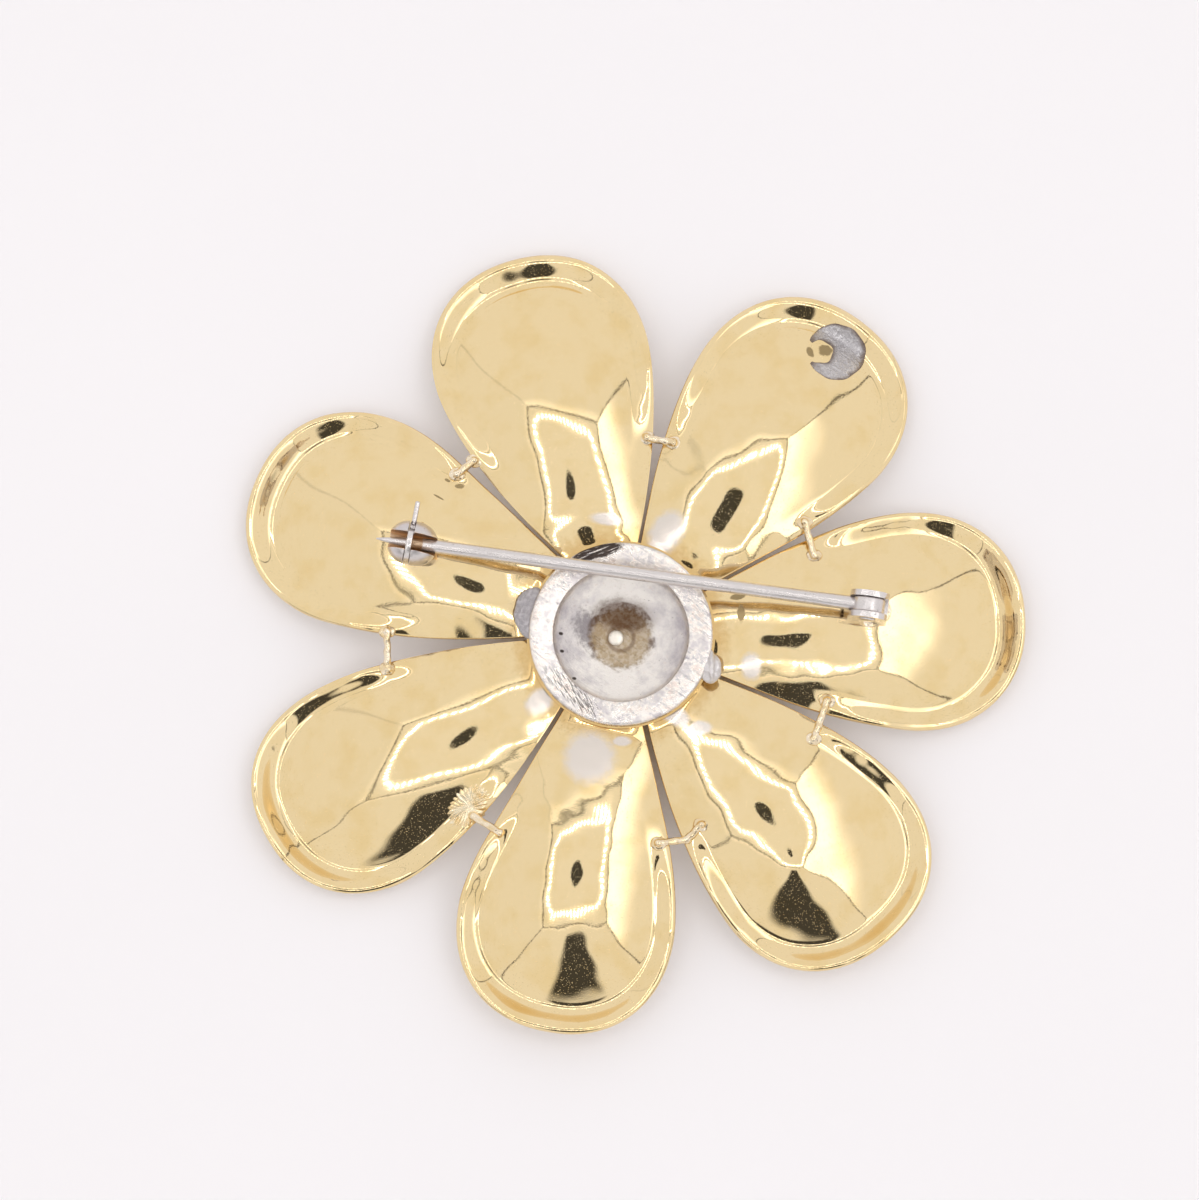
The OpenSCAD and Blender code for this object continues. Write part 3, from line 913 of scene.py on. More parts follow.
    @classmethod
    def roughen(cls, piece: bpy.types.Object, depth: float, size: float, seed: int) -> None:
        """Moves the piece's points in and out by smooth waves.

        Args:
            piece: the piece.
            depth: how far a point may move, in mm.
            size: the waves' length in mm.
            seed: which waves.
        """
        spots = read_points(piece) / MM
        normals = np.empty(len(piece.data.vertices) * 3, np.float32)
        piece.data.vertices.foreach_get("normal", normals)
        random = np.random.default_rng(seed)
        total = np.zeros(len(spots))
        for _ in range(6):
            way = random.normal(size=3)
            way *= 2 * math.pi / size / np.linalg.norm(way) * random.uniform(0.6, 1.5)
            total += np.sin(spots @ way + random.uniform(0, 2 * math.pi)) / 6
        write_points(piece, (spots + normals.reshape(-1, 3) * total[:, None] * depth) * MM)


def read_points(piece: bpy.types.Object) -> np.ndarray:
    """The piece's points, one row each.

    Args:
        piece: the piece.

    Returns:
        Their x, y and z in metres.
    """
    flat = np.empty(len(piece.data.vertices) * 3, np.float32)
    piece.data.vertices.foreach_get("co", flat)
    return flat.reshape(-1, 3).astype(float)


def write_points(piece: bpy.types.Object, points: np.ndarray) -> None:
    """Moves the piece's points."""
    piece.data.vertices.foreach_set("co", points.astype(np.float32).ravel())
    piece.data.update()


def dress(piece: bpy.types.Object, material: bpy.types.Material) -> None:
    """Gives the piece one material."""
    piece.data.materials.clear()
    piece.data.materials.append(material)


def fit(piece: bpy.types.Object, finish: bpy.types.Material, slot: Slot, body: str = BODY,
        replaced: Sequence[str] = ()) -> None:
    """Dresses a finished piece and fastens it to its body.

    Args:
        piece: the piece.
        finish: its material.
        slot: the record's slot that the material belongs to; not used.
        body: the body that it rides on.
        replaced: the CAD nodes that it stands for.
    """
    dress(piece, finish)
    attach(piece, body)
    if replaced:
        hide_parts(*replaced)
    LOG.info("%s: %d faces on %s", piece.name, len(piece.data.polygons), body)


# Flower


@dataclass(frozen=True)
class Flower:
    """Sizes that all the petals share, in mm and degrees, as in the part's source."""

    centre: tuple[float, float] = CENTRE
    seat_z: float = 5.2
    sheet: float = 0.8
    cross_r: float = 14.0
    rise_r: float = 45.0
    fall_bend: float = 2.2
    lip_w: float = 2.2
    tip_lip_w: float = 2.9
    lip_slope: float = 1.08
    tip_slope: float = 1.3
    lip_from: float = 15.0
    lip_grow: float = 9.0
    tip_len: float = 10.0
    tip_round: float = 2.2
    side_bend: float = 1.6
    root_r: float = 6.5
    rise_from: float = 8.68
    tie_d: float = 0.66
    leg_turn: float = 37.0

    def world(self, turn: float, u: np.ndarray, v: np.ndarray) -> tuple[np.ndarray, np.ndarray]:
        """Plan position of a point given along and across the direction turn."""
        c, s = cos_sin(turn)
        return self.centre[0] + u * c - v * s, self.centre[1] + u * s + v * c


@dataclass(frozen=True)
class PetalRow:
    """One petal: its direction, sizes, and the gap that follows it anticlockwise."""

    axis: float
    reach: float
    half_width: float
    crest: float
    low_z: float
    gap_at: float
    gap_half: float
    gap_off: float = 0.0


@dataclass(frozen=True)
class Dent:
    """A shallow dent or swell: place along and across the petal, half sizes, turn and height."""

    u: float
    v: float
    long: float
    wide: float
    turn: float
    height: float


def smooth_step(t: np.ndarray) -> np.ndarray:
    """A smooth step from 0 to 1."""
    c = np.clip(t, 0, 1)
    return c * c * (3 - 2 * c)


# Waves round a petal's rim: how many there are in a full turn, and how strong each is
LOBES = ((3, 0.25), (5, 0.25), (8, 0.25), (13, 0.25), (21, 0.1), (37, 0.05))


@dataclass
class Petal:
    """A domed teardrop of sheet with a turned rim."""

    number: int
    row: PetalRow
    before: PetalRow
    flower: Flower
    dents: Sequence[Dent] = ()
    side_steps: int = 60
    tip_steps: int = 130
    field_rings: int = 36
    rim_rings: int = 18
    edge_round: float = 0.22
    wave_depth: float = 0.09
    wave_len: float = 8.5
    fine_depth: float = 0.012
    fine_len: float = 3.2
    rim_square: float = 1.93
    rim_cube: float = 1.17
    rim_depth: float = 0.16
    rim_reach: float = 3.2
    edge_drop: float = 0.2
    edge_soft: float = 0.6
    calm_to: float = 8.5
    calm_grow: float = 3.0
    lobe_back: float = 4.0

    def side_angle(self, side: float) -> tuple[float, float]:
        """Angle from the petal's axis to the gap on that side, and what the gap takes from it.

        Args:
            side: 1 for the side anticlockwise of the axis, -1 for the other.

        Returns:
            The angle in radians and the gap's share in mm.
        """
        gap = self.row if side > 0 else self.before
        turn = abs((gap.gap_at - self.row.axis + 540) % 360 - 180)
        return math.radians(turn), gap.gap_half - side * gap.gap_off

    def half_width(self, u: np.ndarray, side: float) -> np.ndarray:
        """Half width on one side: straight along the gap, then bending level.

        Args:
            u: distance along the petal.
            side: the side, 1 or -1.

        Returns:
            The half width in mm.
        """
        angle, taken = self.side_angle(side)
        bend = self.flower.side_bend
        wide_u = self.row.reach - self.flower.tip_len
        slope, g, w = math.tan(angle), taken / math.cos(angle), self.row.half_width
        start = (w + g - wide_u * slope / bend) / (slope * (1 - 1 / bend))
        left = (wide_u - np.minimum(u, wide_u)) / (wide_u - start)
        curve = w - slope * (wide_u - start) / bend * np.abs(left) ** bend
        return np.where(u < start, u * slope - g, curve)

    def in_tip(self, u: np.ndarray) -> np.ndarray:
        """How far along the round tip the distance u is, as a smooth step."""
        return smooth_step((u - self.row.reach + self.flower.tip_len) / self.flower.tip_len)

    def rim_width(self, u: np.ndarray) -> np.ndarray:
        """Width of the turned rim at the distance u."""
        form = self.flower
        return form.lip_w + (form.tip_lip_w - form.lip_w) * self.in_tip(u)

    def edge_distance(self, u: np.ndarray, v: np.ndarray) -> np.ndarray:
        """Distance from the petal's edge, square to its sides and from the round tip's centre.

        Args:
            u: place along the petal.
            v: place across the petal.

        Returns:
            The distance in mm, 0 past the edge.
        """
        form, row = self.flower, self.row
        half = np.where(v > 0, self.half_width(u, 1.0), self.half_width(u, -1.0))
        on = np.maximum(u - row.reach + form.tip_len, 0)
        size = (on / form.tip_len) ** form.tip_round + (np.abs(v) / row.half_width) ** form.tip_round
        far = np.hypot(on, v)
        tip = far / np.maximum(size, 1e-9) ** (1 / form.tip_round) - far
        return np.maximum(np.where(on > 0, tip, half - np.abs(v)), 0)

    def height(self, u: np.ndarray, v: np.ndarray, d: np.ndarray) -> np.ndarray:
        """Height of the smooth upper face.

        Args:
            u: place along the petal.
            v: place across the petal.
            d: distance from its edge.

        Returns:
            The height in mm.
        """
        form, row = self.flower, self.row
        crest_z = form.seat_z + (row.crest - form.rise_from) ** 2 / (2 * form.rise_r)
        fall_len = row.reach - form.tip_lip_w - row.crest
        fall = crest_z - form.sheet - row.low_z
        spine = np.where(
            u < row.crest,
            crest_z - (row.crest - np.maximum(u, form.rise_from)) ** 2 / (2 * form.rise_r),
            crest_z - fall * (np.maximum(u - row.crest, 0) / fall_len) ** form.fall_bend,
        )
        slope = form.lip_slope + (form.tip_slope - form.lip_slope) * self.in_tip(u)
        wide = self.rim_width(u)
        t = np.clip(1 - d / wide, 0, 1)
        turned = wide * t * t * (self.rim_square - self.rim_cube * t)
        lip = slope * smooth_step((u - form.lip_from) / form.lip_grow) * turned
        return spine - v * v / (2 * form.cross_r) + lip

    def hammered(self, u: np.ndarray, v: np.ndarray, d: np.ndarray) -> np.ndarray:
        """Small unevenness of the stamped sheet, which fades out at the root and the edge.

        Args:
            u: place along the petal.
            v: place across the petal.
            d: distance from its edge.

        Returns:
            What it adds to the height, in mm.
        """
        random = np.random.default_rng(100 + self.number)
        total = self.waves(random, 7, self.wave_len, u, v) * self.wave_depth
        total += self.waves(random, 6, self.fine_len, u, v) * self.fine_depth
        round_turn = np.arctan2(v, u - self.row.reach + self.flower.tip_len + self.lobe_back)
        rim = sum(np.sin(n * round_turn + random.uniform(0, 2 * math.pi)) * part for n, part in LOBES)
        total += self.rim_depth * rim * np.clip(1 - d / self.rim_reach, 0, 1) ** 2
        on_rim = smooth_step((u - self.flower.lip_from) / self.flower.lip_grow)
        total -= self.edge_drop * on_rim * np.clip(1 - d / self.edge_soft, 0, 1) ** 2
        for dent in self.dents:
            c, s = cos_sin(dent.turn)
            a, b = u - dent.u, v - dent.v
            r2 = ((a * c + b * s) / dent.long) ** 2 + ((b * c - a * s) / dent.wide) ** 2
            total += dent.height * np.exp(-r2)
        return total * smooth_step((u - self.calm_to) / self.calm_grow)

    @staticmethod
    def waves(random: np.random.Generator, count: int, length: float, u: np.ndarray,
              v: np.ndarray) -> np.ndarray:
        """Crossed waves.

        Args:
            random: what their directions and phases come from.
            count: how many waves are added.
            length: their length in mm.
            u: place along the petal.
            v: place across the petal.

        Returns:
            Their mean, between -1 and 1.
        """
        total = np.zeros_like(u)
        for _ in range(count):
            turn, phase = random.uniform(0, math.pi), random.uniform(0, 2 * math.pi)
            k = 2 * math.pi / length * random.uniform(0.6, 1.7)
            total += np.sin(k * (u * math.cos(turn) + v * math.sin(turn)) + phase) / count
        return total

    def face(self, u: np.ndarray, v: np.ndarray) -> np.ndarray:
        """Height of the finished face."""
        d = self.edge_distance(u, v)
        return self.height(u, v, d) + self.hammered(u, v, d)

    def lay(self, piece: bpy.types.Object, u: np.ndarray, v: np.ndarray, z: np.ndarray) -> None:
        """Moves a piece's points to places along and across the petal, at the height z."""
        x, y = self.flower.world(self.row.axis, u, v)
        write_points(piece, np.stack([x, y, z], 1) * MM)

    def face_at(self, x: float, y: float) -> float:
        """Height of the finished face at a plan place from the flower's axis."""
        c, s = cos_sin(self.row.axis)
        return float(self.face(np.array([x * c + y * s]), np.array([y * c - x * s]))[0])

    def blank(self, along: np.ndarray, inward: np.ndarray) -> tuple[np.ndarray, ...]:
        """Bends the flat grid into the petal's plan.

        Args:
            along: place along the outline, from 0 at one side of the root to 1 at the other.
            inward: place from the middle, 0, to the edge, 1.

        Returns:
            Distance along the petal, distance across it, and distance from its edge.
        """
        form, row = self.flower, self.row
        count = 2 * self.side_steps + self.tip_steps
        j = along * count
        wide_u = row.reach - form.tip_len
        i = np.minimum(np.minimum(j, count - j), self.side_steps)
        spine = form.root_r + (wide_u - form.root_r) * i / self.side_steps
        side = np.where(along < 0.5, -1.0, 1.0)
        half = np.where(along < 0.5, self.half_width(spine, -1.0), self.half_width(spine, 1.0))
        turn = np.clip(math.pi * ((j - self.side_steps) / self.tip_steps - 0.5), -math.pi / 2, math.pi / 2)
        power = 2 / form.tip_round
        round_u = wide_u + form.tip_len * np.abs(np.cos(turn)) ** power
        round_v = row.half_width * np.sign(turn) * np.abs(np.sin(turn)) ** power
        at_tip = (j > self.side_steps) & (j < count - self.side_steps)
        edge_u = np.where(at_tip, round_u, spine)
        edge_v = np.where(at_tip, round_v, side * half)
        reach = np.hypot(edge_u - spine, edge_v)
        rings = self.field_rings + self.rim_rings
        step = inward * rings
        rim = self.rim_width(edge_u)
        field_part = (reach - rim) * step / self.field_rings
        rim_part = reach - rim * (1 - (step - self.field_rings) / self.rim_rings)
        t = np.where(step <= self.field_rings, field_part, rim_part)
        share = t / np.maximum(reach, 1e-9)
        return spine + (edge_u - spine) * share, edge_v * share, reach - t

    def build(self) -> bpy.types.Object:
        """Makes the petal from a flat grid that is bent to shape and given the sheet's thickness.

        Returns:
            The petal.
        """
        count, rings = 2 * self.side_steps + self.tip_steps, self.field_rings + self.rim_rings
        piece = Bench.strip(f"petal_{self.number}_sheet", count, rings)
        flat = read_points(piece)
        u, v, d = self.blank(flat[:, 0] + 0.5, flat[:, 1] + 0.5)
        self.lay(piece, u, v, self.height(u, v, d) + self.hammered(u, v, d))
        Bench.thicken(piece, self.flower.sheet, merge=0.002)
        Bench.soften(piece, self.edge_round, segments=3, angle=50.0)
        Bench.smooth(piece, angle=50.0)
        return piece


# Axis, reach, half width, crest and low point; then the next gap's direction, half width and offset
PETALS = (
    PetalRow(3.4, 36.5, 9.9, 15.3, 0.4, 28.9, 0.12),
    PetalRow(53.1, 36.2, 9.8, 18.6, 0.43, 78.9, 0.12),
    PetalRow(106.0, 35.9, 9.8, 18.5, 0.44, 136.0, 0.12, -1.35),
    PetalRow(155.7, 36.0, 9.7, 17.1, 0.35, 183.8, 0.15, -0.3),
    PetalRow(209.5, 36.6, 9.5, 14.2, 0.33, 239.2, 0.15, -1.2),
    PetalRow(259.2, 36.2, 9.8, 19.2, 1.8, 282.7, 0.2, 0.35),
    PetalRow(311.7, 36.4, 10.1, 17.6, 1.3, 338.4, 0.15, -0.2),
)

# Dents by petal: place along and across it, half sizes, turn and height
DENTS = {
    2: (Dent(9.3, 0.0, 2.0, 6.0, 0.0, -0.15),),
    3: (Dent(9.3, 0.0, 2.0, 6.0, 0.0, -0.22),),
    4: (Dent(13.6, 1.7, 4.5, 4.5, 0.0, 0.16),),
    6: (Dent(22.0, 0.0, 7.0, 4.0, 0.0, 0.1),),
    7: (Dent(26.3, -2.3, 1.7, 1.7, 0.0, 0.24),),
}

# Worn patches, with a painted highlight by the cup on petal 3, and dark stains by petal: x, y, half length,
# half width and turn, in mm and degrees
WORN_AND_HIGHLIGHTS = {
    1: ((10.4, -2.4, 1.0, 1.3, 0),),
    2: ((2.8, 9.7, 2.3, 1.6, 60),),
    # Petal 3: a pale painted highlight beside the cup
    3: ((-2.6, 10.9, 1.6, 0.6, -5),),
    5: ((-8.6, -5.6, 1.6, 1.1, 40),),
    6: ((-4.15, -10.7, 2.5, 2.6, 0), (-1.2, -9.2, 0.9, 0.5, 0)),
    7: ((5.8, -8.0, 1.2, 0.7, 0), (3.6, -6.9, 1.6, 0.9, -30)),
}
STAINS = {
    1: ((9.2, 3.9, 0.75, 0.3, 10), (9.5, 2.4, 0.4, 0.85, 0)),
    2: ((17.15, 26.6, 0.7, 0.6, 0), (15.8, 26.4, 0.3, 0.6, 20)),
    4: ((-15.8, 13.95, 0.45, 0.25, 0), (-16.9, 14.5, 0.3, 0.15, -30), (-17.7, 12.9, 0.6, 0.1, -30)),
}


# Tie bars


@dataclass(frozen=True)
class TieBar:
    """A short bar soldered across the gap that follows a petal."""

    number: int
    distance: float
    back: float
    onward: float
    turn: float
    leg: float = 0.0
    pool: float = 0.78
    lift: float = 0.22
    end_size: float = 0.56
    pool_short: float = 0.85
    pool_up: float = 0.34
    first_seed: int = 40

    def ends(self, flower: Flower) -> list[tuple[float, float]]:
        """Plan places of the bar's ends and bend, from the flower's axis.

        Args:
            flower: the shared sizes.

        Returns:
            The places in mm.
        """
        gap = PETALS[self.number - 1]
        c, s = cos_sin(gap.gap_at)
        x, y = self.distance * c - gap.gap_off * s, self.distance * s + gap.gap_off * c
        way = gap.gap_at + 90 + self.turn
        c, s = cos_sin(way)
        spots = [(x + t * c, y + t * s) for t in (-self.back, self.onward)]
        if self.leg:
            x, y = spots[-1]
            c, s = cos_sin(way + flower.leg_turn)
            spots.append((x + self.leg * c, y + self.leg * s))
        return spots

    def build(self, flower: Flower, petals: Sequence[Petal]) -> bpy.types.Object:
        """Melts the bar and its solder pools into one skin on the petals.

        Args:
            flower: the shared sizes.
            petals: all the petals, which say how high their faces are.

        Returns:
            The bar.
        """
        homes = [petals[self.number - 1]] + [petals[self.number % len(petals)]] * 2
        points = []
        for home, (x, y) in zip(homes, self.ends(flower)):
            z = home.face_at(x, y) + self.lift
            points.append(Vector((flower.centre[0] + x, flower.centre[1] + y, z)))
        name = f"tie_bar_{self.number}"
        bars = [Bench.rod(f"{name}_{n}", flower.tie_d / 2, a, b, sides=24)
                for n, (a, b) in enumerate(zip(points, points[1:]))]
        ball = [flower.tie_d * self.end_size] * 3
        bars += [Bench.blob(f"{name}_end_{n}", p, ball) for n, p in enumerate(points)]
        half = (self.pool, self.pool * self.pool_short, self.pool_up)
        for n, p in enumerate((points[0], points[-1])):
            bars.append(Bench.blob(f"{name}_pool_{n}", p - Vector((0, 0, self.lift)), half))
        piece = bars[0]
        Bench.melt(piece, bars[1:], grain=0.06)
        piece.name = piece.data.name = name
        Bench.roughen(piece, depth=0.09, size=0.9, seed=self.first_seed + self.number)
        Bench.smooth(piece, angle=SOLDER_ANGLE)
        return piece


# The petal before the gap, distance from the axis, length back and onward, turn, and length of a bent end
TIES = (
    TieBar(1, 19.2, 2.1, 1.0, -12.7),
    TieBar(2, 18.05, 1.3, 1.15, 0),
    TieBar(3, 20.65, 0.9, 1.1, -7.4),
    TieBar(4, 21.05, 1.5, 1.8, -3.1),
    TieBar(5, 20.85, 1.9, 1.0, -4.1, pool=0.5),
    TieBar(6, 19.15, 1.2, 1.4, -4, 1.8),
    TieBar(7, 19.45, 2.1, 1.6, 2.3),
)


# Cup and front


@dataclass
class BackCup:
    """The cast cup on the flower's back, with its solder tab and lump."""

    flower: Flower
    flange_r: float = 8.28
    bowl_r: float = 6.0
    flange_up: float = 0.45
    flange_h: float = 0.6
    bowl_depth: float = 3.6
    floor_r: float = 2.8
    wall: float = 0.55
    hole_r: float = 0.55
    rivet_at: tuple[float, float] = (-0.45, 0.0)
    tab_at: tuple[float, float] = (-6.6, 1.5)
    tab_half: tuple[float, float, float] = (1.75, 2.4, 0.26)
    lump_at: tuple[float, float] = (8.2, -3.1)
    lump_half: tuple[float, float, float] = (1.0, 1.4, 0.4)
    ridge_half: tuple[float, float, float] = (0.3, 1.5, 0.4)

    @property
    def flange_z(self) -> float:
        """Height of the flange's underside."""
        return self.flower.seat_z + self.flange_up

    @property
    def flange_top(self) -> float:
        """Height of the flange's top."""
        return self.flange_z + self.flange_h

    @property
    def floor_z(self) -> float:
        """Height of the bowl's floor."""
        return self.flange_top - self.bowl_depth

    def profile(self) -> list[tuple[float, float]]:
        """The cup's wall, from under its floor round the flange to the floor's middle.

        Returns:
            (radius, height) steps in mm.
        """
        tiny = 0.02
        bowl_out = self.bowl_r + 0.33
        low = self.floor_z - self.wall
        bowl = [(self.bowl_r - 0.15, self.flange_top - 1.0), (self.bowl_r - 0.32, self.flange_top - 1.3),
                (self.bowl_r - 0.7, self.flange_top - 1.7), (self.bowl_r - 1.6, self.flange_top - 2.5),
                (self.floor_r + 0.7, self.floor_z + 0.62), (self.floor_r + 0.25, self.floor_z + 0.3),
                (self.floor_r, self.floor_z + 0.12), (self.floor_r - 0.5, self.floor_z)]
        return [
            (tiny, low), (self.floor_r + self.wall, low), (bowl_out, self.flange_z - 0.9),
            (bowl_out, self.flange_z), (self.flange_r - 0.08, self.flange_z),
            (self.flange_r, self.flange_z + 0.1), (self.flange_r, self.flange_top - 0.2),
            (self.flange_r - 0.12, self.flange_top - 0.05), (self.flange_r - 0.32, self.flange_top),
            (self.flange_r - 0.7, self.flange_top - 0.03), (self.bowl_r + 1.0, self.flange_top - 0.14),
            (self.bowl_r + 0.4, self.flange_top - 0.22), (self.bowl_r + 0.15, self.flange_top - 0.3),
            (self.bowl_r + 0.1, self.flange_top - 0.5), *bowl, (tiny, self.floor_z),
        ]

    def place(self, at: tuple[float, float] = (0.0, 0.0)) -> Vector:
        """A plan place from the cup's axis, in the brooch's own frame."""
        return Vector((self.flower.centre[0] + at[0], self.flower.centre[1] + at[1], 0.0))

    def build(self) -> bpy.types.Object:
        """Turns the cup and sinks its hole and small casting pits.

        Returns:
            The cup.
        """
        cup = Bench.turned("back_cup_shell", self.profile(), sides=128)
        Bench.settle(cup, Matrix.Translation(self.place() * MM))
        hole = self.place(self.rivet_at)
        low, high = (hole.x, hole.y, self.floor_z - 2), (hole.x, hole.y, self.floor_z + 1)
        Bench.combine(cup, Bench.rod("hole_tool", self.hole_r, low, high), Wall.CUT)
        Bench.roughen(cup, depth=0.03, size=2.2, seed=7)
        Bench.smooth(cup, angle=40.0)
        return cup

    def solder(self) -> list[bpy.types.Object]:
        """The tab at the left of the flange and the ridged lump at its right.

        Returns:
            The tab and the lump.
        """
        tab, lump = self.place(self.tab_at), self.place(self.lump_at)
        top = self.flange_z + 0.28
        left = Bench.blob("cup_tab", (tab.x - 1.3, tab.y + 0.4, top - 0.3), self.tab_half)
        Bench.melt(left, [], grain=0.09)
        right = Bench.blob("cup_lump", (lump.x - 0.15, lump.y, top - 0.05), self.lump_half)
        ridge = Bench.blob("lump_ridge", (lump.x - 0.05, lump.y + 0.2, top + 0.12), self.ridge_half)
        Bench.melt(right, [ridge], grain=0.07)
        for seed, piece in enumerate((left, right)):
            Bench.roughen(piece, depth=0.1, size=1.4, seed=20 + seed)
            Bench.smooth(piece, angle=SOLDER_ANGLE)
        return [left, right]


@dataclass
class CentreRivet:
    """The rivet through the cup, with its bright domed end."""

    cup: BackCup
    radius: float = 0.5
    head_r: float = 0.72
    low_z: float = 1.35

    def build(self) -> bpy.types.Object:
        """Turns the rivet.

        Returns:
            The rivet.
        """
        head = self.cup.floor_z + 0.05
        steps = ((0.02, self.low_z), (self.radius, self.low_z), (self.radius, head),
                 (self.head_r, head), (self.head_r, head + 0.14), (self.head_r - 0.06, head + 0.22),
                 (self.radius, head + 0.3), (0.3, head + 0.35), (0.02, head + 0.37))
        piece = Bench.turned("centre_rivet_head", steps, sides=48)
        Bench.settle(piece, Matrix.Translation(self.cup.place(self.cup.rivet_at) * MM))
        Bench.smooth(piece, angle=50.0)
        return piece


@dataclass
class FrontBoss:
    """The plain polished boss in the middle of the hidden front."""

    cup: BackCup
    radius: float = 8.0
    low_z: float = 0.4
    gap: float = 0.05
    hole_up: float = 0.9
    steps: int = 14

    def build(self) -> bpy.types.Object:
        """Turns the shallow dome with a rounded rim and a blind hole for the rivet.

        Returns:
            The boss.
        """
        top_z = self.cup.floor_z - self.cup.wall - self.gap
        rise = top_z - self.low_z
        ball = (self.radius ** 2 + rise ** 2) / (2 * rise)
        dome = []
        for n in range(self.steps + 1):
            z = rise * (n / self.steps) ** 2
            dome.append((max(0.02, math.sqrt(max(0.0, ball ** 2 - (ball - z) ** 2))), self.low_z + z))
        hole_r, hole_z = self.cup.hole_r, self.low_z + self.hole_up
        bore = [(hole_r, top_z), (hole_r, hole_z), (0.02, hole_z)]
        piece = Bench.turned("front_boss_dome", dome + bore, sides=96)
        Bench.settle(piece, Matrix.Translation(self.cup.place() * MM))
        Bench.soften(piece, width=0.15, segments=3, angle=40.0)
        Bench.smooth(piece, angle=40.0)
        return piece


# Pin, hinge and catch


@dataclass
class PinLine:
    """Places, from the flower's axis, and sizes that the pin, its hinge and its catch share."""

    flower: Flower
    pivot: tuple[float, float] = (22.21, 2.32)
    pin_z: float = 8.4
    pin_turn: float = 7.8
    ear_r: float = 1.75
    catch_at: float = 41.3
    catch_half: float = 2.3
    catch_turn: float = 11.0

    def pin_frame(self) -> Matrix:
        """The pin's directions at its pivot: X to its point, Y across it, Z up.

        Returns:
            The frame.
        """
        x, y = self.flower.centre
        place = Vector((x + self.pivot[0], y + self.pivot[1], self.pin_z))
        return Matrix.Translation(place * MM) @ Matrix.Rotation(math.radians(180 - self.pin_turn), 4, "Z")

    def catch_frame(self) -> Matrix:
        """The catch's directions at its middle: X along its slot, Y across it, Z up."""
        middle = self.pin_frame() @ Vector((self.catch_at * MM, 0, 0))
        return Matrix.Translation(middle) @ Matrix.Rotation(math.radians(180 - self.catch_turn), 4, "Z")


QUARTER = Matrix.Rotation(math.pi / 2, 4, "Y")


@dataclass
class Pin:
    """The tapered pin with its flat knuckle."""

    line: PinLine
    radius: float = 0.6
    knuckle_r: float = 1.44
    knuckle_w: float = 1.32
    length: float = 44.6
    hole_r: float = 0.5

    def profile(self) -> list[tuple[float, float]]:
        """The stem from inside its knuckle to its point.

        Returns:
            (radius, distance along the pin) steps in mm.
        """
        r, at, neck = self.radius, self.line.catch_at, self.line.ear_r + 0.15
        stem = [(r, 4.6 + n * (at - self.line.catch_half - 4.9) / 24) for n in range(25)]
        return [
            (0.02, 0.3), (r + 0.04, 0.3), (r + 0.04, neck), (r + 0.04, neck + 1.2), *stem,
            (r * 0.98, at - 0.95), (r * 0.95, at - 0.9), (r * 0.89, at - 0.85), (r * 0.85, at + 0.1),
            (r * 0.78, at + 0.5), (r * 0.7, at + 0.8), (r * 0.62, at + 1.3), (r * 0.52, at + 1.8),
            (r * 0.32, at + 2.6), (0.07, self.length - 0.05), (0.02, self.length),
        ]

    def build(self) -> bpy.types.Object:
        """Turns the stem, fuses it with the knuckle and bores the rivet's hole.

        Returns:
            The pin.
        """
        pin = Bench.turned("pin_steel", self.profile(), sides=48)
        Bench.settle(pin, QUARTER)
        half = self.knuckle_w / 2
        knuckle = Bench.rod("knuckle_tool", self.knuckle_r, (0, -half, 0), (0, half, 0), sides=64)
        Bench.soften(knuckle, width=0.14, segments=3, angle=60.0)
        Bench.combine(pin, knuckle, Wall.FUSE)
        Bench.combine(pin, Bench.rod("bore_tool", self.hole_r, (0, -2, 0), (0, 2, 0)), Wall.CUT)
        Bench.settle(pin, self.line.pin_frame())
        Bench.smooth(pin, angle=40.0)
        return pin


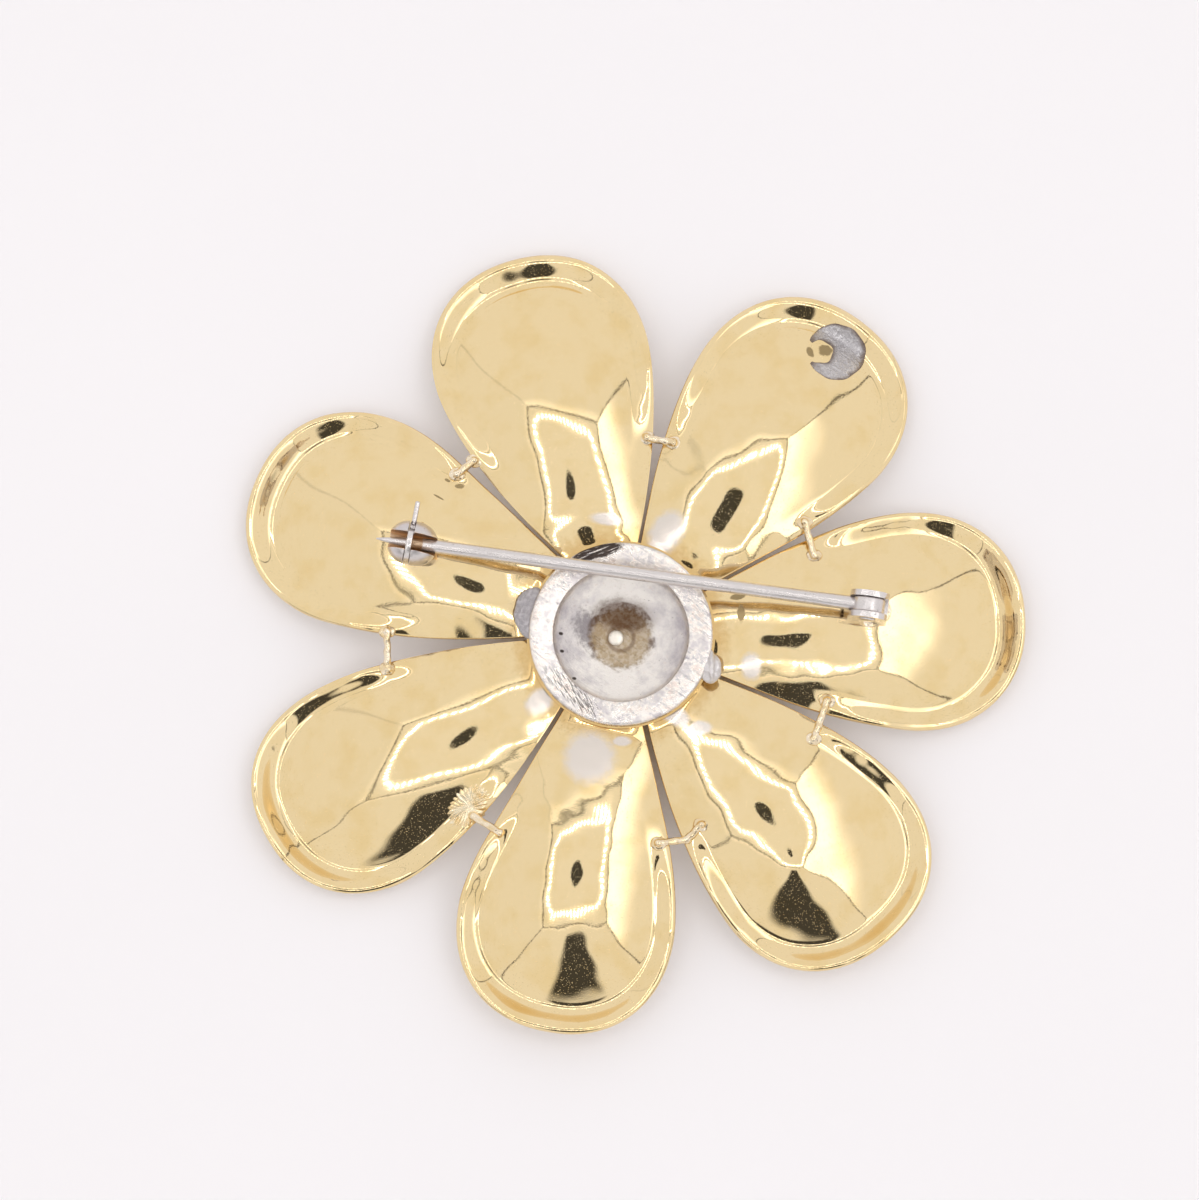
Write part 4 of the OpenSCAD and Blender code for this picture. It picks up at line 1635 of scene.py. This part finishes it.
@dataclass
class Hinge:
    """The hinge's base and two round ears, with the rivet through them."""

    line: PinLine
    home: Petal
    ear_w: float = 0.52
    ear_in: float = 0.69
    deck: float = -1.5
    sunk: float = 0.15
    rivet_r: float = 0.46
    bore_gap: float = 0.02
    head_r: float = 0.75
    head_h: float = 0.18
    head_gap: float = 0.02
    pool_up: float = 0.02
    pool_half: tuple[float, float, float] = (2.15, 1.65, 0.22)

    def foot(self) -> float:
        """How far the petal's face lies under the pivot."""
        return self.home.face_at(*self.line.pivot) - self.line.pin_z

    def build(self) -> bpy.types.Object:
        """Fuses the ears with the base, rounds their edges and bores them.

        Returns:
            The hinge.
        """
        foot, outer = self.foot(), self.ear_in + self.ear_w
        low, high = (-self.line.ear_r, -outer, foot - self.sunk), (self.line.ear_r, outer, self.deck)
        hinge = Bench.block("hinge_ears", low, high)
        for side in (-1, 1):
            a, b = sorted((side * self.ear_in, side * outer))
            ear = Bench.rod("ear_tool", self.line.ear_r, (0, a, 0), (0, b, 0), sides=64)
            post = Bench.block("post_tool", (-self.line.ear_r, a, self.deck - 0.2), (self.line.ear_r, b, 0))
            Bench.combine(ear, post, Wall.FUSE)
            bore_r = self.rivet_r + self.bore_gap
            bore = Bench.rod("bore_tool", bore_r, (0, a - 0.2, 0), (0, b + 0.2, 0))
            Bench.combine(ear, bore, Wall.CUT)
            Bench.combine(hinge, ear, Wall.FUSE)
        Bench.soften(hinge, width=0.1, segments=3, angle=50.0)
        Bench.settle(hinge, self.line.pin_frame())
        Bench.smooth(hinge, angle=35.0)
        return hinge

    def rivet(self) -> bpy.types.Object:
        """Turns the rivet with a domed head at each end.

        Returns:
            The rivet.
        """
        seat = self.ear_in + self.ear_w + self.head_gap
        top = seat + self.head_h
        steps = [(0.02, -top), (self.rivet_r, -top + 0.02), (self.head_r - 0.05, -top + 0.08),
                 (self.head_r, -seat - 0.04), (self.head_r, -seat), (self.rivet_r, -seat)]
        steps += [(radius, -height) for radius, height in reversed(steps)]
        piece = Bench.turned("hinge_rivet_heads", steps, sides=40)
        Bench.settle(piece, self.line.pin_frame() @ Matrix.Rotation(-math.pi / 2, 4, "X"))
        Bench.smooth(piece, angle=50.0)
        return piece

    def pool(self) -> bpy.types.Object:
        """The solder that holds the base on its petal."""
        middle = (0, 0, self.foot() + self.pool_up)
        return Bench.pool("hinge_solder", middle, self.pool_half, self.line.pin_frame(), 31)


@dataclass
class Catch:
    """The safety catch: a slotted bead on a foot, and a turning collar with its lever."""

    line: PinLine
    home: Petal
    radius: float = 2.0
    slot_w: float = 1.6
    core_r: float = 1.25
    groove_at: float = 0.27
    groove_w: float = 0.62
    foot_half: float = 1.3
    foot_top: float = -1.0
    sunk: float = 0.15
    collar_r: float = 1.9
    collar_w: float = 0.5
    collar_in: float = 1.3
    collar_room: float = 0.07
    mouth_at: float = -36.0
    mouth_w: float = 66.0
    lever_r: float = 0.24
    lever_reach: float = 3.8
    lever_lean: float = 4.0
    lever_off: float = -0.05
    pool_up: float = 0.02
    pool_half: tuple[float, float, float] = (1.85, 1.75, 0.24)

    def bead(self, x: float) -> tuple[float, float]:
        """Point of the bead's outline at x along the slot."""
        return self.radius * math.sqrt(max(1e-4, 1 - abs(x / self.line.catch_half) ** 2.4)), x

    def build(self) -> bpy.types.Object:
        """Turns the bead with its groove, adds the foot and cuts the slot.

        Returns:
            The catch.
        """
        steps = [math.sin(math.radians(90 * n / 12)) * self.line.catch_half for n in range(1, 13)]
        low, high = self.groove_at - self.groove_w / 2, self.groove_at + self.groove_w / 2
        left = [self.bead(-x) for x in reversed(steps) if -x < low - 0.05]
        right = [self.bead(x) for x in steps if x > high + 0.05]
        neck = [self.bead(low), (self.core_r, low), (self.core_r, high), self.bead(high)]
        body = Bench.turned("catch_bead", [*left, *neck, *right], sides=96)
        Bench.settle(body, QUARTER)
        side, drop = self.foot_half, self.drop()
        foot = Bench.block("foot_tool", (-side, -side, drop - self.sunk), (side, side, self.foot_top))
        room_r = self.collar_r + self.collar_room
        room = Bench.rod("room_tool", room_r, (low, 0, 0), (high, 0, 0), sides=64)
        Bench.combine(foot, room, Wall.CUT)
        Bench.combine(body, foot, Wall.FUSE)
        slot_r, past = self.slot_w / 2, 2 * self.radius
        slot = Bench.block("slot_tool", (-past, -slot_r, 0), (past, slot_r, past))
        Bench.combine(slot, Bench.rod("slot_floor", slot_r, (-past, 0, 0), (past, 0, 0)), Wall.FUSE)
        Bench.combine(body, slot, Wall.CUT)
        Bench.soften(body, width=0.07, segments=2, angle=40.0)
        Bench.settle(body, self.line.catch_frame())
        Bench.smooth(body, angle=40.0)
        return body

    def drop(self) -> float:
        """How far the petal's face lies under the slot's axis."""
        place = self.line.catch_frame().translation / MM - Vector((*self.line.flower.centre, 0))
        return self.home.face_at(place.x, place.y) - self.line.pin_z

    def pool(self) -> bpy.types.Object:
        """The solder under the catch's foot."""
        middle = (0.1, 0, self.drop() + self.pool_up)
        return Bench.pool("catch_solder", middle, self.pool_half, self.line.catch_frame(), 32)

    def collar(self) -> bpy.types.Object:
        """Spins the open ring and fuses the lever with it.

        Returns:
            The collar.
        """
        start = math.radians(self.mouth_at + self.mouth_w / 2)
        sweep = math.radians(360 - self.mouth_w)
        middle, thick = (self.collar_r + self.collar_in) / 2, self.collar_r - self.collar_in
        ring = Bench.add(bpy.ops.mesh.primitive_plane_add, "collar_ring", size=1)
        flat = Matrix.Diagonal((self.collar_w * MM, thick * MM, 1, 1))
        aside = Matrix.Translation((0, -middle * MM, 0))
        Bench.settle(ring, Matrix.Rotation(-start, 4, "X") @ aside @ flat)
        with Bench.editing(ring, "FACE"):
            bpy.ops.mesh.spin(steps=56, angle=sweep, center=(0, 0, 0), axis=(-1, 0, 0))
            bpy.ops.mesh.select_all(action="SELECT")
            bpy.ops.mesh.remove_doubles(threshold=1e-7)
            bpy.ops.mesh.fill_holes(sides=4)
            Bench.face_out()
        Bench.soften(ring, width=0.06, segments=2, angle=50.0)
        inner, outer = -(self.collar_r - 0.3), -self.lever_reach
        c, s = cos_sin(self.lever_lean)
        start_at, end_at = [(self.lever_off, y * c, -y * s) for y in (inner, outer)]
        lever = Bench.rod("lever_tool", self.lever_r, start_at, end_at, sides=32)
        Bench.soften(lever, width=0.14, segments=3, angle=60.0)
        Bench.combine(ring, lever, Wall.FUSE)
        Bench.settle(ring, self.line.catch_frame() @ Matrix.Translation((self.groove_at * MM, 0, 0)))
        Bench.smooth(ring, angle=40.0)
        return ring


# Solder patch


@dataclass
class SolderPatch:
    """The thin C-shaped grey patch near the tip of the second petal."""

    home: Petal
    u: float = 32.55
    v: float = 0.1
    half: float = 2.75
    bite: float = 1.05
    bite_off: float = 1.5
    bite_turn: float = 128.0
    sweep: float = 138.0
    relief: float = 0.07
    sunk: float = 0.04
    sheet: float = 0.15
    rings: int = 16
    sides: int = 96

    def build(self) -> bpy.types.Object:
        """Bends a flat strip round its bite on to the petal's face and gives it a thickness.

        Returns:
            The patch.
        """
        piece = Bench.strip("solder_patch", self.sides, self.rings)
        flat = read_points(piece)
        along, across = flat[:, 0] * 2, flat[:, 1] + 0.5
        turn = along * math.radians(self.sweep)
        off = self.bite_off * np.cos(turn)
        outer = off + np.sqrt(self.half ** 2 - self.bite_off ** 2 + off ** 2)
        outer *= 1 + 0.015 * np.sin(5 * turn + 1) + 0.01 * np.sin(13 * turn)
        inner = self.bite * (1 + 0.06 * np.sin(5 * turn))
        middle = (outer + inner) / 2
        wide = np.maximum(outer - inner, 0.3) * np.sqrt(np.maximum(1 - np.abs(along) ** 8, 0))
        reach = middle + wide * (across - 0.5)
        away = turn + math.radians(self.bite_turn + 180)
        c, s = cos_sin(self.bite_turn)
        u = self.u + self.bite_off * c + reach * np.cos(away)
        v = self.v + self.bite_off * s + reach * np.sin(away)
        edge = np.maximum(np.abs(2 * across - 1), np.abs(along))
        z = self.home.face(u, v) + self.relief * (1 - edge ** 6) - self.sunk * edge ** 6
        self.home.lay(piece, u, v, z)
        mark = piece.data.attributes.new("edge", "FLOAT", "POINT")
        mark.data.foreach_set("value", edge.astype(np.float32))
        Bench.thicken(piece, self.sheet, merge=0.001)
        Bench.smooth(piece, angle=50.0)
        return piece


@dataclass
class SolderSplash:
    """The oval splash of crinkled solder at the foot of a tie bar."""

    home: Petal
    u: float = 19.5
    v: float = 6.6
    lean: float = 18.0
    half: tuple[float, float] = (2.25, 1.55)
    relief: float = 0.1
    crinkle: float = 0.055
    folds: int = 26
    sunk: float = 0.03
    sheet: float = 0.12
    rings: int = 24
    sides: int = 220

    def build(self) -> bpy.types.Object:
        """Bends a flat strip into a crinkled disc on the petal's face and gives it a thickness.

        Returns:
            The splash.
        """
        piece = Bench.strip("solder_splash", self.sides, self.rings)
        flat = read_points(piece)
        turn, out = flat[:, 0] * 2 * math.pi, flat[:, 1] + 0.5
        ragged = 1 + 0.03 * np.sin(7 * turn + 2) + 0.04 * np.sin(self.folds * turn)
        along = self.half[0] * ragged * out * np.cos(turn)
        across = self.half[1] * ragged * out * np.sin(turn)
        c, s = cos_sin(self.lean)
        u, v = self.u + along * c - across * s, self.v + along * s + across * c
        fold = np.sin(self.folds * turn + 2 * np.sin(3 * turn + 5 * out))
        top = self.relief * (1 - out ** 4) + self.crinkle * fold * out * (1 - out ** 8)
        z = self.home.face(u, v) + top - self.sunk * out ** 6
        self.home.lay(piece, u, v, z)
        Bench.thicken(piece, self.sheet, merge=0.001)
        Bench.smooth(piece, angle=60.0)
        return piece


# Studio


@dataclass(frozen=True)
class Studio:
    """White paper, a light box with a dark door and two posts round it, and the camera above.

    The rows of wall_light are the right, left, near and back wall: the heights between which the wall's
    light grows, how much it grows, and the light at its foot.
    """

    lean: float = 6.5
    distance: float = 1.2
    view_mm: float = 108.0
    look_at: tuple[float, float, float] = (-3.22, 3.70, 4.0)
    sensor_mm: float = 36.0
    floor_half: float = 1.5
    roof_x: float = 0.46
    roof_y: float = 0.40
    roof_shift: float = 0.085
    seam: float = 0.024
    lamp_x: float = 0.385
    lamp_y: float = 0.325
    lamp_round: float = 0.10
    lamp_step: float = 0.052
    bar_long: float = 0.024
    bar_thick: float = 0.018
    halo: float = 0.055
    door_at: float = 0.1
    door_low: float = 0.43
    door_lean: float = 0.26
    door_high: tuple[float, float] = (0.84, 0.76)
    door_foot: tuple[float, float] = (0.25, 0.31)
    door_dark: float = 0.93
    post_low: float = 0.03
    post_high: float = 0.22
    post_dark: float = 0.88
    posts: tuple[tuple[float, float], ...] = ((-1.1, 0.5), (2.4, 1.2))
    wall_light: tuple[tuple[float, ...], ...] = (
        (0.45, 0.85, 1.3, 0.96), (0.86, 0.99, 0.18, 0.94), (0.9, 0.99, 0.3, 0.95), (0.8, 0.99, 0.4, 0.95))
    roof_light: float = 0.97
    warmth: tuple[float, float, float] = (1.0, 0.985, 0.975)
    backdrop: tuple[float, float, float] = (0.92, 0.89, 0.91)
    lamp_power: float = 6.0
    halo_power: float = 0.45
    hole_r: tuple[float, float] = (0.088, 0.078)
    seam_dark: float = 0.85
    gap_dark: float = 0.93
    closed: float = 0.75

    def floor(self) -> bpy.types.Object:
        """Lays the paper.

        Returns:
            The paper.
        """
        paper = Bench.add(bpy.ops.mesh.primitive_plane_add, "white_paper", size=2 * self.floor_half)
        dress(paper, WhitePaper().build("white_paper"))
        return paper

    def camera(self) -> bpy.types.Object:
        """Sets the camera at the photograph's angle.

        Returns:
            The camera.
        """
        lean = math.radians(self.lean)
        data = bpy.data.cameras.new("camera")
        data.sensor_width = self.sensor_mm
        data.lens = self.sensor_mm * self.distance / (self.view_mm * MM)
        data.clip_start, data.clip_end = 0.01, 20.0
        camera = bpy.data.objects.new("camera", data)
        bpy.context.scene.collection.objects.link(camera)
        back = Vector((0, -math.sin(lean), math.cos(lean))) * self.distance
        camera.location = Vector(self.look_at) * MM + back
        camera.rotation_euler = (lean, 0, 0)
        bpy.context.scene.camera = camera
        return camera

    def light(self) -> None:
        """Lights the scene from a white box: a roof with a ring of small lamps, and pale walls."""
        world = bpy.data.worlds.new("light_box")
        bpy.context.scene.world = world
        graph = Graph(world)
        way = graph.make("ShaderNodeTexCoord", {}, {}, "Generated")
        x, y, z = graph.parts(way)
        y = y + z * self.roof_shift
        side, front = abs(x) / self.roof_x, abs(y) / self.roof_y
        rim = side.most(front).most(0.001)
        level = z / rim
        roof = level > 1.0
        up = z.most(0.05)
        u, v = x / up, y / up
        glow = self.lamps(u, v) * roof
        walls = self.walls(x, y, side, front, level)
        shade = walls * (1.0 - roof) + roof * self.roof_light + glow
        closed = (x < 0.0) * (y > 0.0) * self.closed
        dark = self.seams(side, front, rim, level, closed).most(self.lens_hole(u, v) * roof)
        shade = shade * (1.0 - dark * self.gap_dark)
        seen = graph.make("ShaderNodeLightPath", {}, {}, "Is Camera Ray")
        colour = graph.vector(*(shade * part for part in self.warmth))
        colour = graph.tint(seen, colour, self.backdrop)
        box = graph.make("ShaderNodeBackground", {}, {"Color": colour})
        graph.make_output("ShaderNodeOutputWorld", box)
        bpy.context.scene.view_settings.view_transform = "Standard"

    def lamps(self, u: Shade, v: Shade) -> Shade:
        """The ring of small lamps.

        Args:
            u: place on the roof to the right, for a height of 1.
            v: place on it to the back.

        Returns:
            Their light.
        """
        a = abs(u) - (self.lamp_x - self.lamp_round)
        b = abs(v) - (self.lamp_y - self.lamp_round)
        corner = (a.most(0.0) ** 2.0 + b.most(0.0) ** 2.0) ** 0.5
        off = corner + a.most(b).least(0.0) - self.lamp_round
        along = u + (v - u) * (a > b)
        phase = (along / self.lamp_step).maths("FRACT") - 0.5
        far = ((off / self.bar_long) ** 2.0 + (phase * self.lamp_step / self.bar_thick) ** 2.0) ** 0.5
        bar = ((1.0 - far) * 2.5).clipped()
        return bar * self.lamp_power + (1.0 - abs(off) / self.halo).clipped() * self.halo_power

    def lens_hole(self, u: Shade, v: Shade) -> Shade:
        """The dark hole in the roof that the camera looks through.

        Args:
            u: place on the roof to the right, for a height of 1.
            v: place on it to the back.

        Returns:
            One in the hole.
        """
        at = self.roof_shift - math.tan(math.radians(self.lean))
        far = (u * u + ((v - at) * 0.85) ** 2.0) ** 0.5
        return far.rise(*self.hole_r)

    def walls(self, x: Shade, y: Shade, side: Shade, front: Shade, level: Shade) -> Shade:
        """Light of the four walls with the door and the posts.

        Args:
            x: the way's part to the right.
            y: its part to the back.
            side: how far it goes to a side wall.
            front: how far it goes to the front or back wall.
            level: its height on the wall, 1 at the roof and 0 at the paper.

        Returns:
            The light.
        """
        at_side = side > front
        right, left = at_side * (x > 0.0), at_side * (x < 0.0)
        near, back = (1.0 - at_side) * (y < 0.0), (1.0 - at_side) * (y > 0.0)
        light = x * 0.0
        for wall, (low, high, more, base) in zip((right, left, near, back), self.wall_light):
            light = light + wall * (level.rise(low, high) * more + base)
        depth = abs(y).most(0.001)
        spread = abs(x - depth * self.door_at) / depth
        inside = (self.door_low - level * self.door_lean - spread).rise(-0.06, 0.06)
        door = inside * level.rise(*self.door_high) * level.rise(*self.door_foot)
        light = light * (1.0 - near * door * self.door_dark)
        above = level.rise(self.post_low, self.post_low + 0.03)
        in_post = above * level.rise(self.post_high, self.post_high - 0.05)
        for at, half in self.posts:
            post = (abs(x / depth - at) / half).rise(1.1, 0.85) * (y < 0.0)
            light = light * (1.0 - post * in_post * self.post_dark)
        return light

    def seams(self, side: Shade, front: Shade, rim: Shade, level: Shade, closed: Shade) -> Shade:
        """The thin dark lines where the box's panels meet.

        Args:
            side: how far the way goes to a side wall.
            front: how far it goes to the front or back wall.
            rim: the greater of the two.
            level: the height on the wall.
            closed: how well the corner there is closed, from 0 to 1.

        Returns:
            One on a line.
        """
        roof_edge = (abs(level - 1.0) / self.seam).rise(1.0, 0.5)
        corner = (abs(side - front) / rim / self.seam).rise(1.0, 0.5) * (level < 1.0)
        return roof_edge.most(corner * (1.0 - closed)) * self.seam_dark


# Assembly


@dataclass
class Brooch:
    """All the pieces of the brooch, built and dressed in order."""

    flower: Flower = field(default_factory=Flower)

    def petals(self) -> list[Petal]:
        """The petals' sizes, each with the row before it."""
        return [Petal(n + 1, row, PETALS[n - 1], self.flower, DENTS.get(n + 1, ()))
                for n, row in enumerate(PETALS)]

    def build(self) -> None:
        """Builds every piece and fastens it to its body."""
        petals = self.petals()
        for petal in petals:
            n = petal.number
            plate = GoldPlate().build(f"gold_{n}", WORN_AND_HIGHLIGHTS.get(n, ()), STAINS.get(n, ()))
            fit(petal.build(), plate, Slot.GOLD, replaced=[f"petal_{n}"])
        bar_gold = PlainGold().build("bar_gold")
        for tie in TIES:
            fit(tie.build(self.flower, petals), bar_gold, Slot.GOLD)
        self.build_centre()
        self.build_pin(petals)
        fit(SolderPatch(petals[1]).build(), GreySolder().build("grey_solder"), Slot.CAST)
        splash_gold = PlainGold(colour=(0.80, 0.60, 0.32), pale=(0.90, 0.78, 0.56)).build("splash_gold")
        fit(SolderSplash(petals[4]).build(), splash_gold, Slot.GOLD)

    def build_centre(self) -> None:
        """Builds the cup, its rivet, the seat ring's finish and the front boss."""
        cup = BackCup(self.flower)
        cast = CastSilver(self.flower.centre).build("cast_silver")
        steel = PinSteel(turn=0.0, colour=(0.95, 0.90, 0.80)).build("rivet_steel", grey=0.1, rough=0.4)
        gold = GoldPlate().build("boss_gold")
        fit(cup.build(), cast, Slot.CAST, replaced=["back_cup"])
        tab_grey = GreySolder(colour=(0.34, 0.32, 0.34), light=(0.60, 0.57, 0.59))
        lump_grey = GreySolder(colour=(0.66, 0.63, 0.64), light=(0.84, 0.80, 0.79))
        tab, lump = cup.solder()
        fit(tab, tab_grey.build("tab_solder"), Slot.CAST)
        fit(lump, lump_grey.build("lump_solder"), Slot.CAST)
        fit(CentreRivet(cup).build(), steel, Slot.STEEL, replaced=["centre_rivet"])
        fit(FrontBoss(cup).build(), gold, Slot.GOLD, replaced=["front_boss"])
        # The seat ring lies inside the painted root shade, so it is amber too
        dress(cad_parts["seat_ring"], gold)

    def build_pin(self, petals: Sequence[Petal]) -> None:
        """Builds the pin, its hinge and its catch.

        Args:
            petals: all the petals, two of which carry the hinge and the catch.
        """
        line = PinLine(self.flower)
        pin, hinge, catch = Pin(line), Hinge(line, petals[0]), Catch(line, petals[3])
        worn = line.pin_frame() @ Vector(((line.catch_at - 0.35) * MM, 0, 0)) / MM
        stem_steel = PinSteel(180 - line.pin_turn).build("pin_steel", rough=0.28, worn_at=(worn.x, worn.y))
        slot = line.catch_frame().translation / MM
        dull_steel = PinSteel(180 - line.catch_turn).build(
            "catch_steel", grey=0.5, rough=0.3, worn_at=(slot.x, slot.y),
            worn_half=(20.0, catch.slot_w / 2 + 0.04))
        ear_steel = PinSteel(turn=100.0).build("hinge_steel", grey=0.25, rough=0.24)
        solder = PlainGold().build("pool_gold")
        fit(pin.build(), stem_steel, Slot.STEEL, "pin", ["pin_stem"])
        fit(hinge.build(), ear_steel, Slot.STEEL, replaced=["hinge_block"])
        fit(hinge.rivet(), ear_steel, Slot.STEEL, replaced=["hinge_rivet"])
        fit(catch.build(), dull_steel, Slot.STEEL, replaced=["catch_body"])
        fit(catch.collar(), ear_steel, Slot.STEEL, "collar", ["catch_collar"])
        for pool in (hinge.pool(), catch.pool()):
            fit(pool, solder, Slot.GOLD)


def main() -> None:
    """Builds the brooch and its studio."""
    logging.basicConfig(level=logging.INFO, format="%(message)s")
    bpy.ops.object.select_all(action="DESELECT")
    Brooch().build()
    studio = Studio()
    studio.floor()
    studio.camera()
    studio.light()


if __name__ == "__main__":
    main()
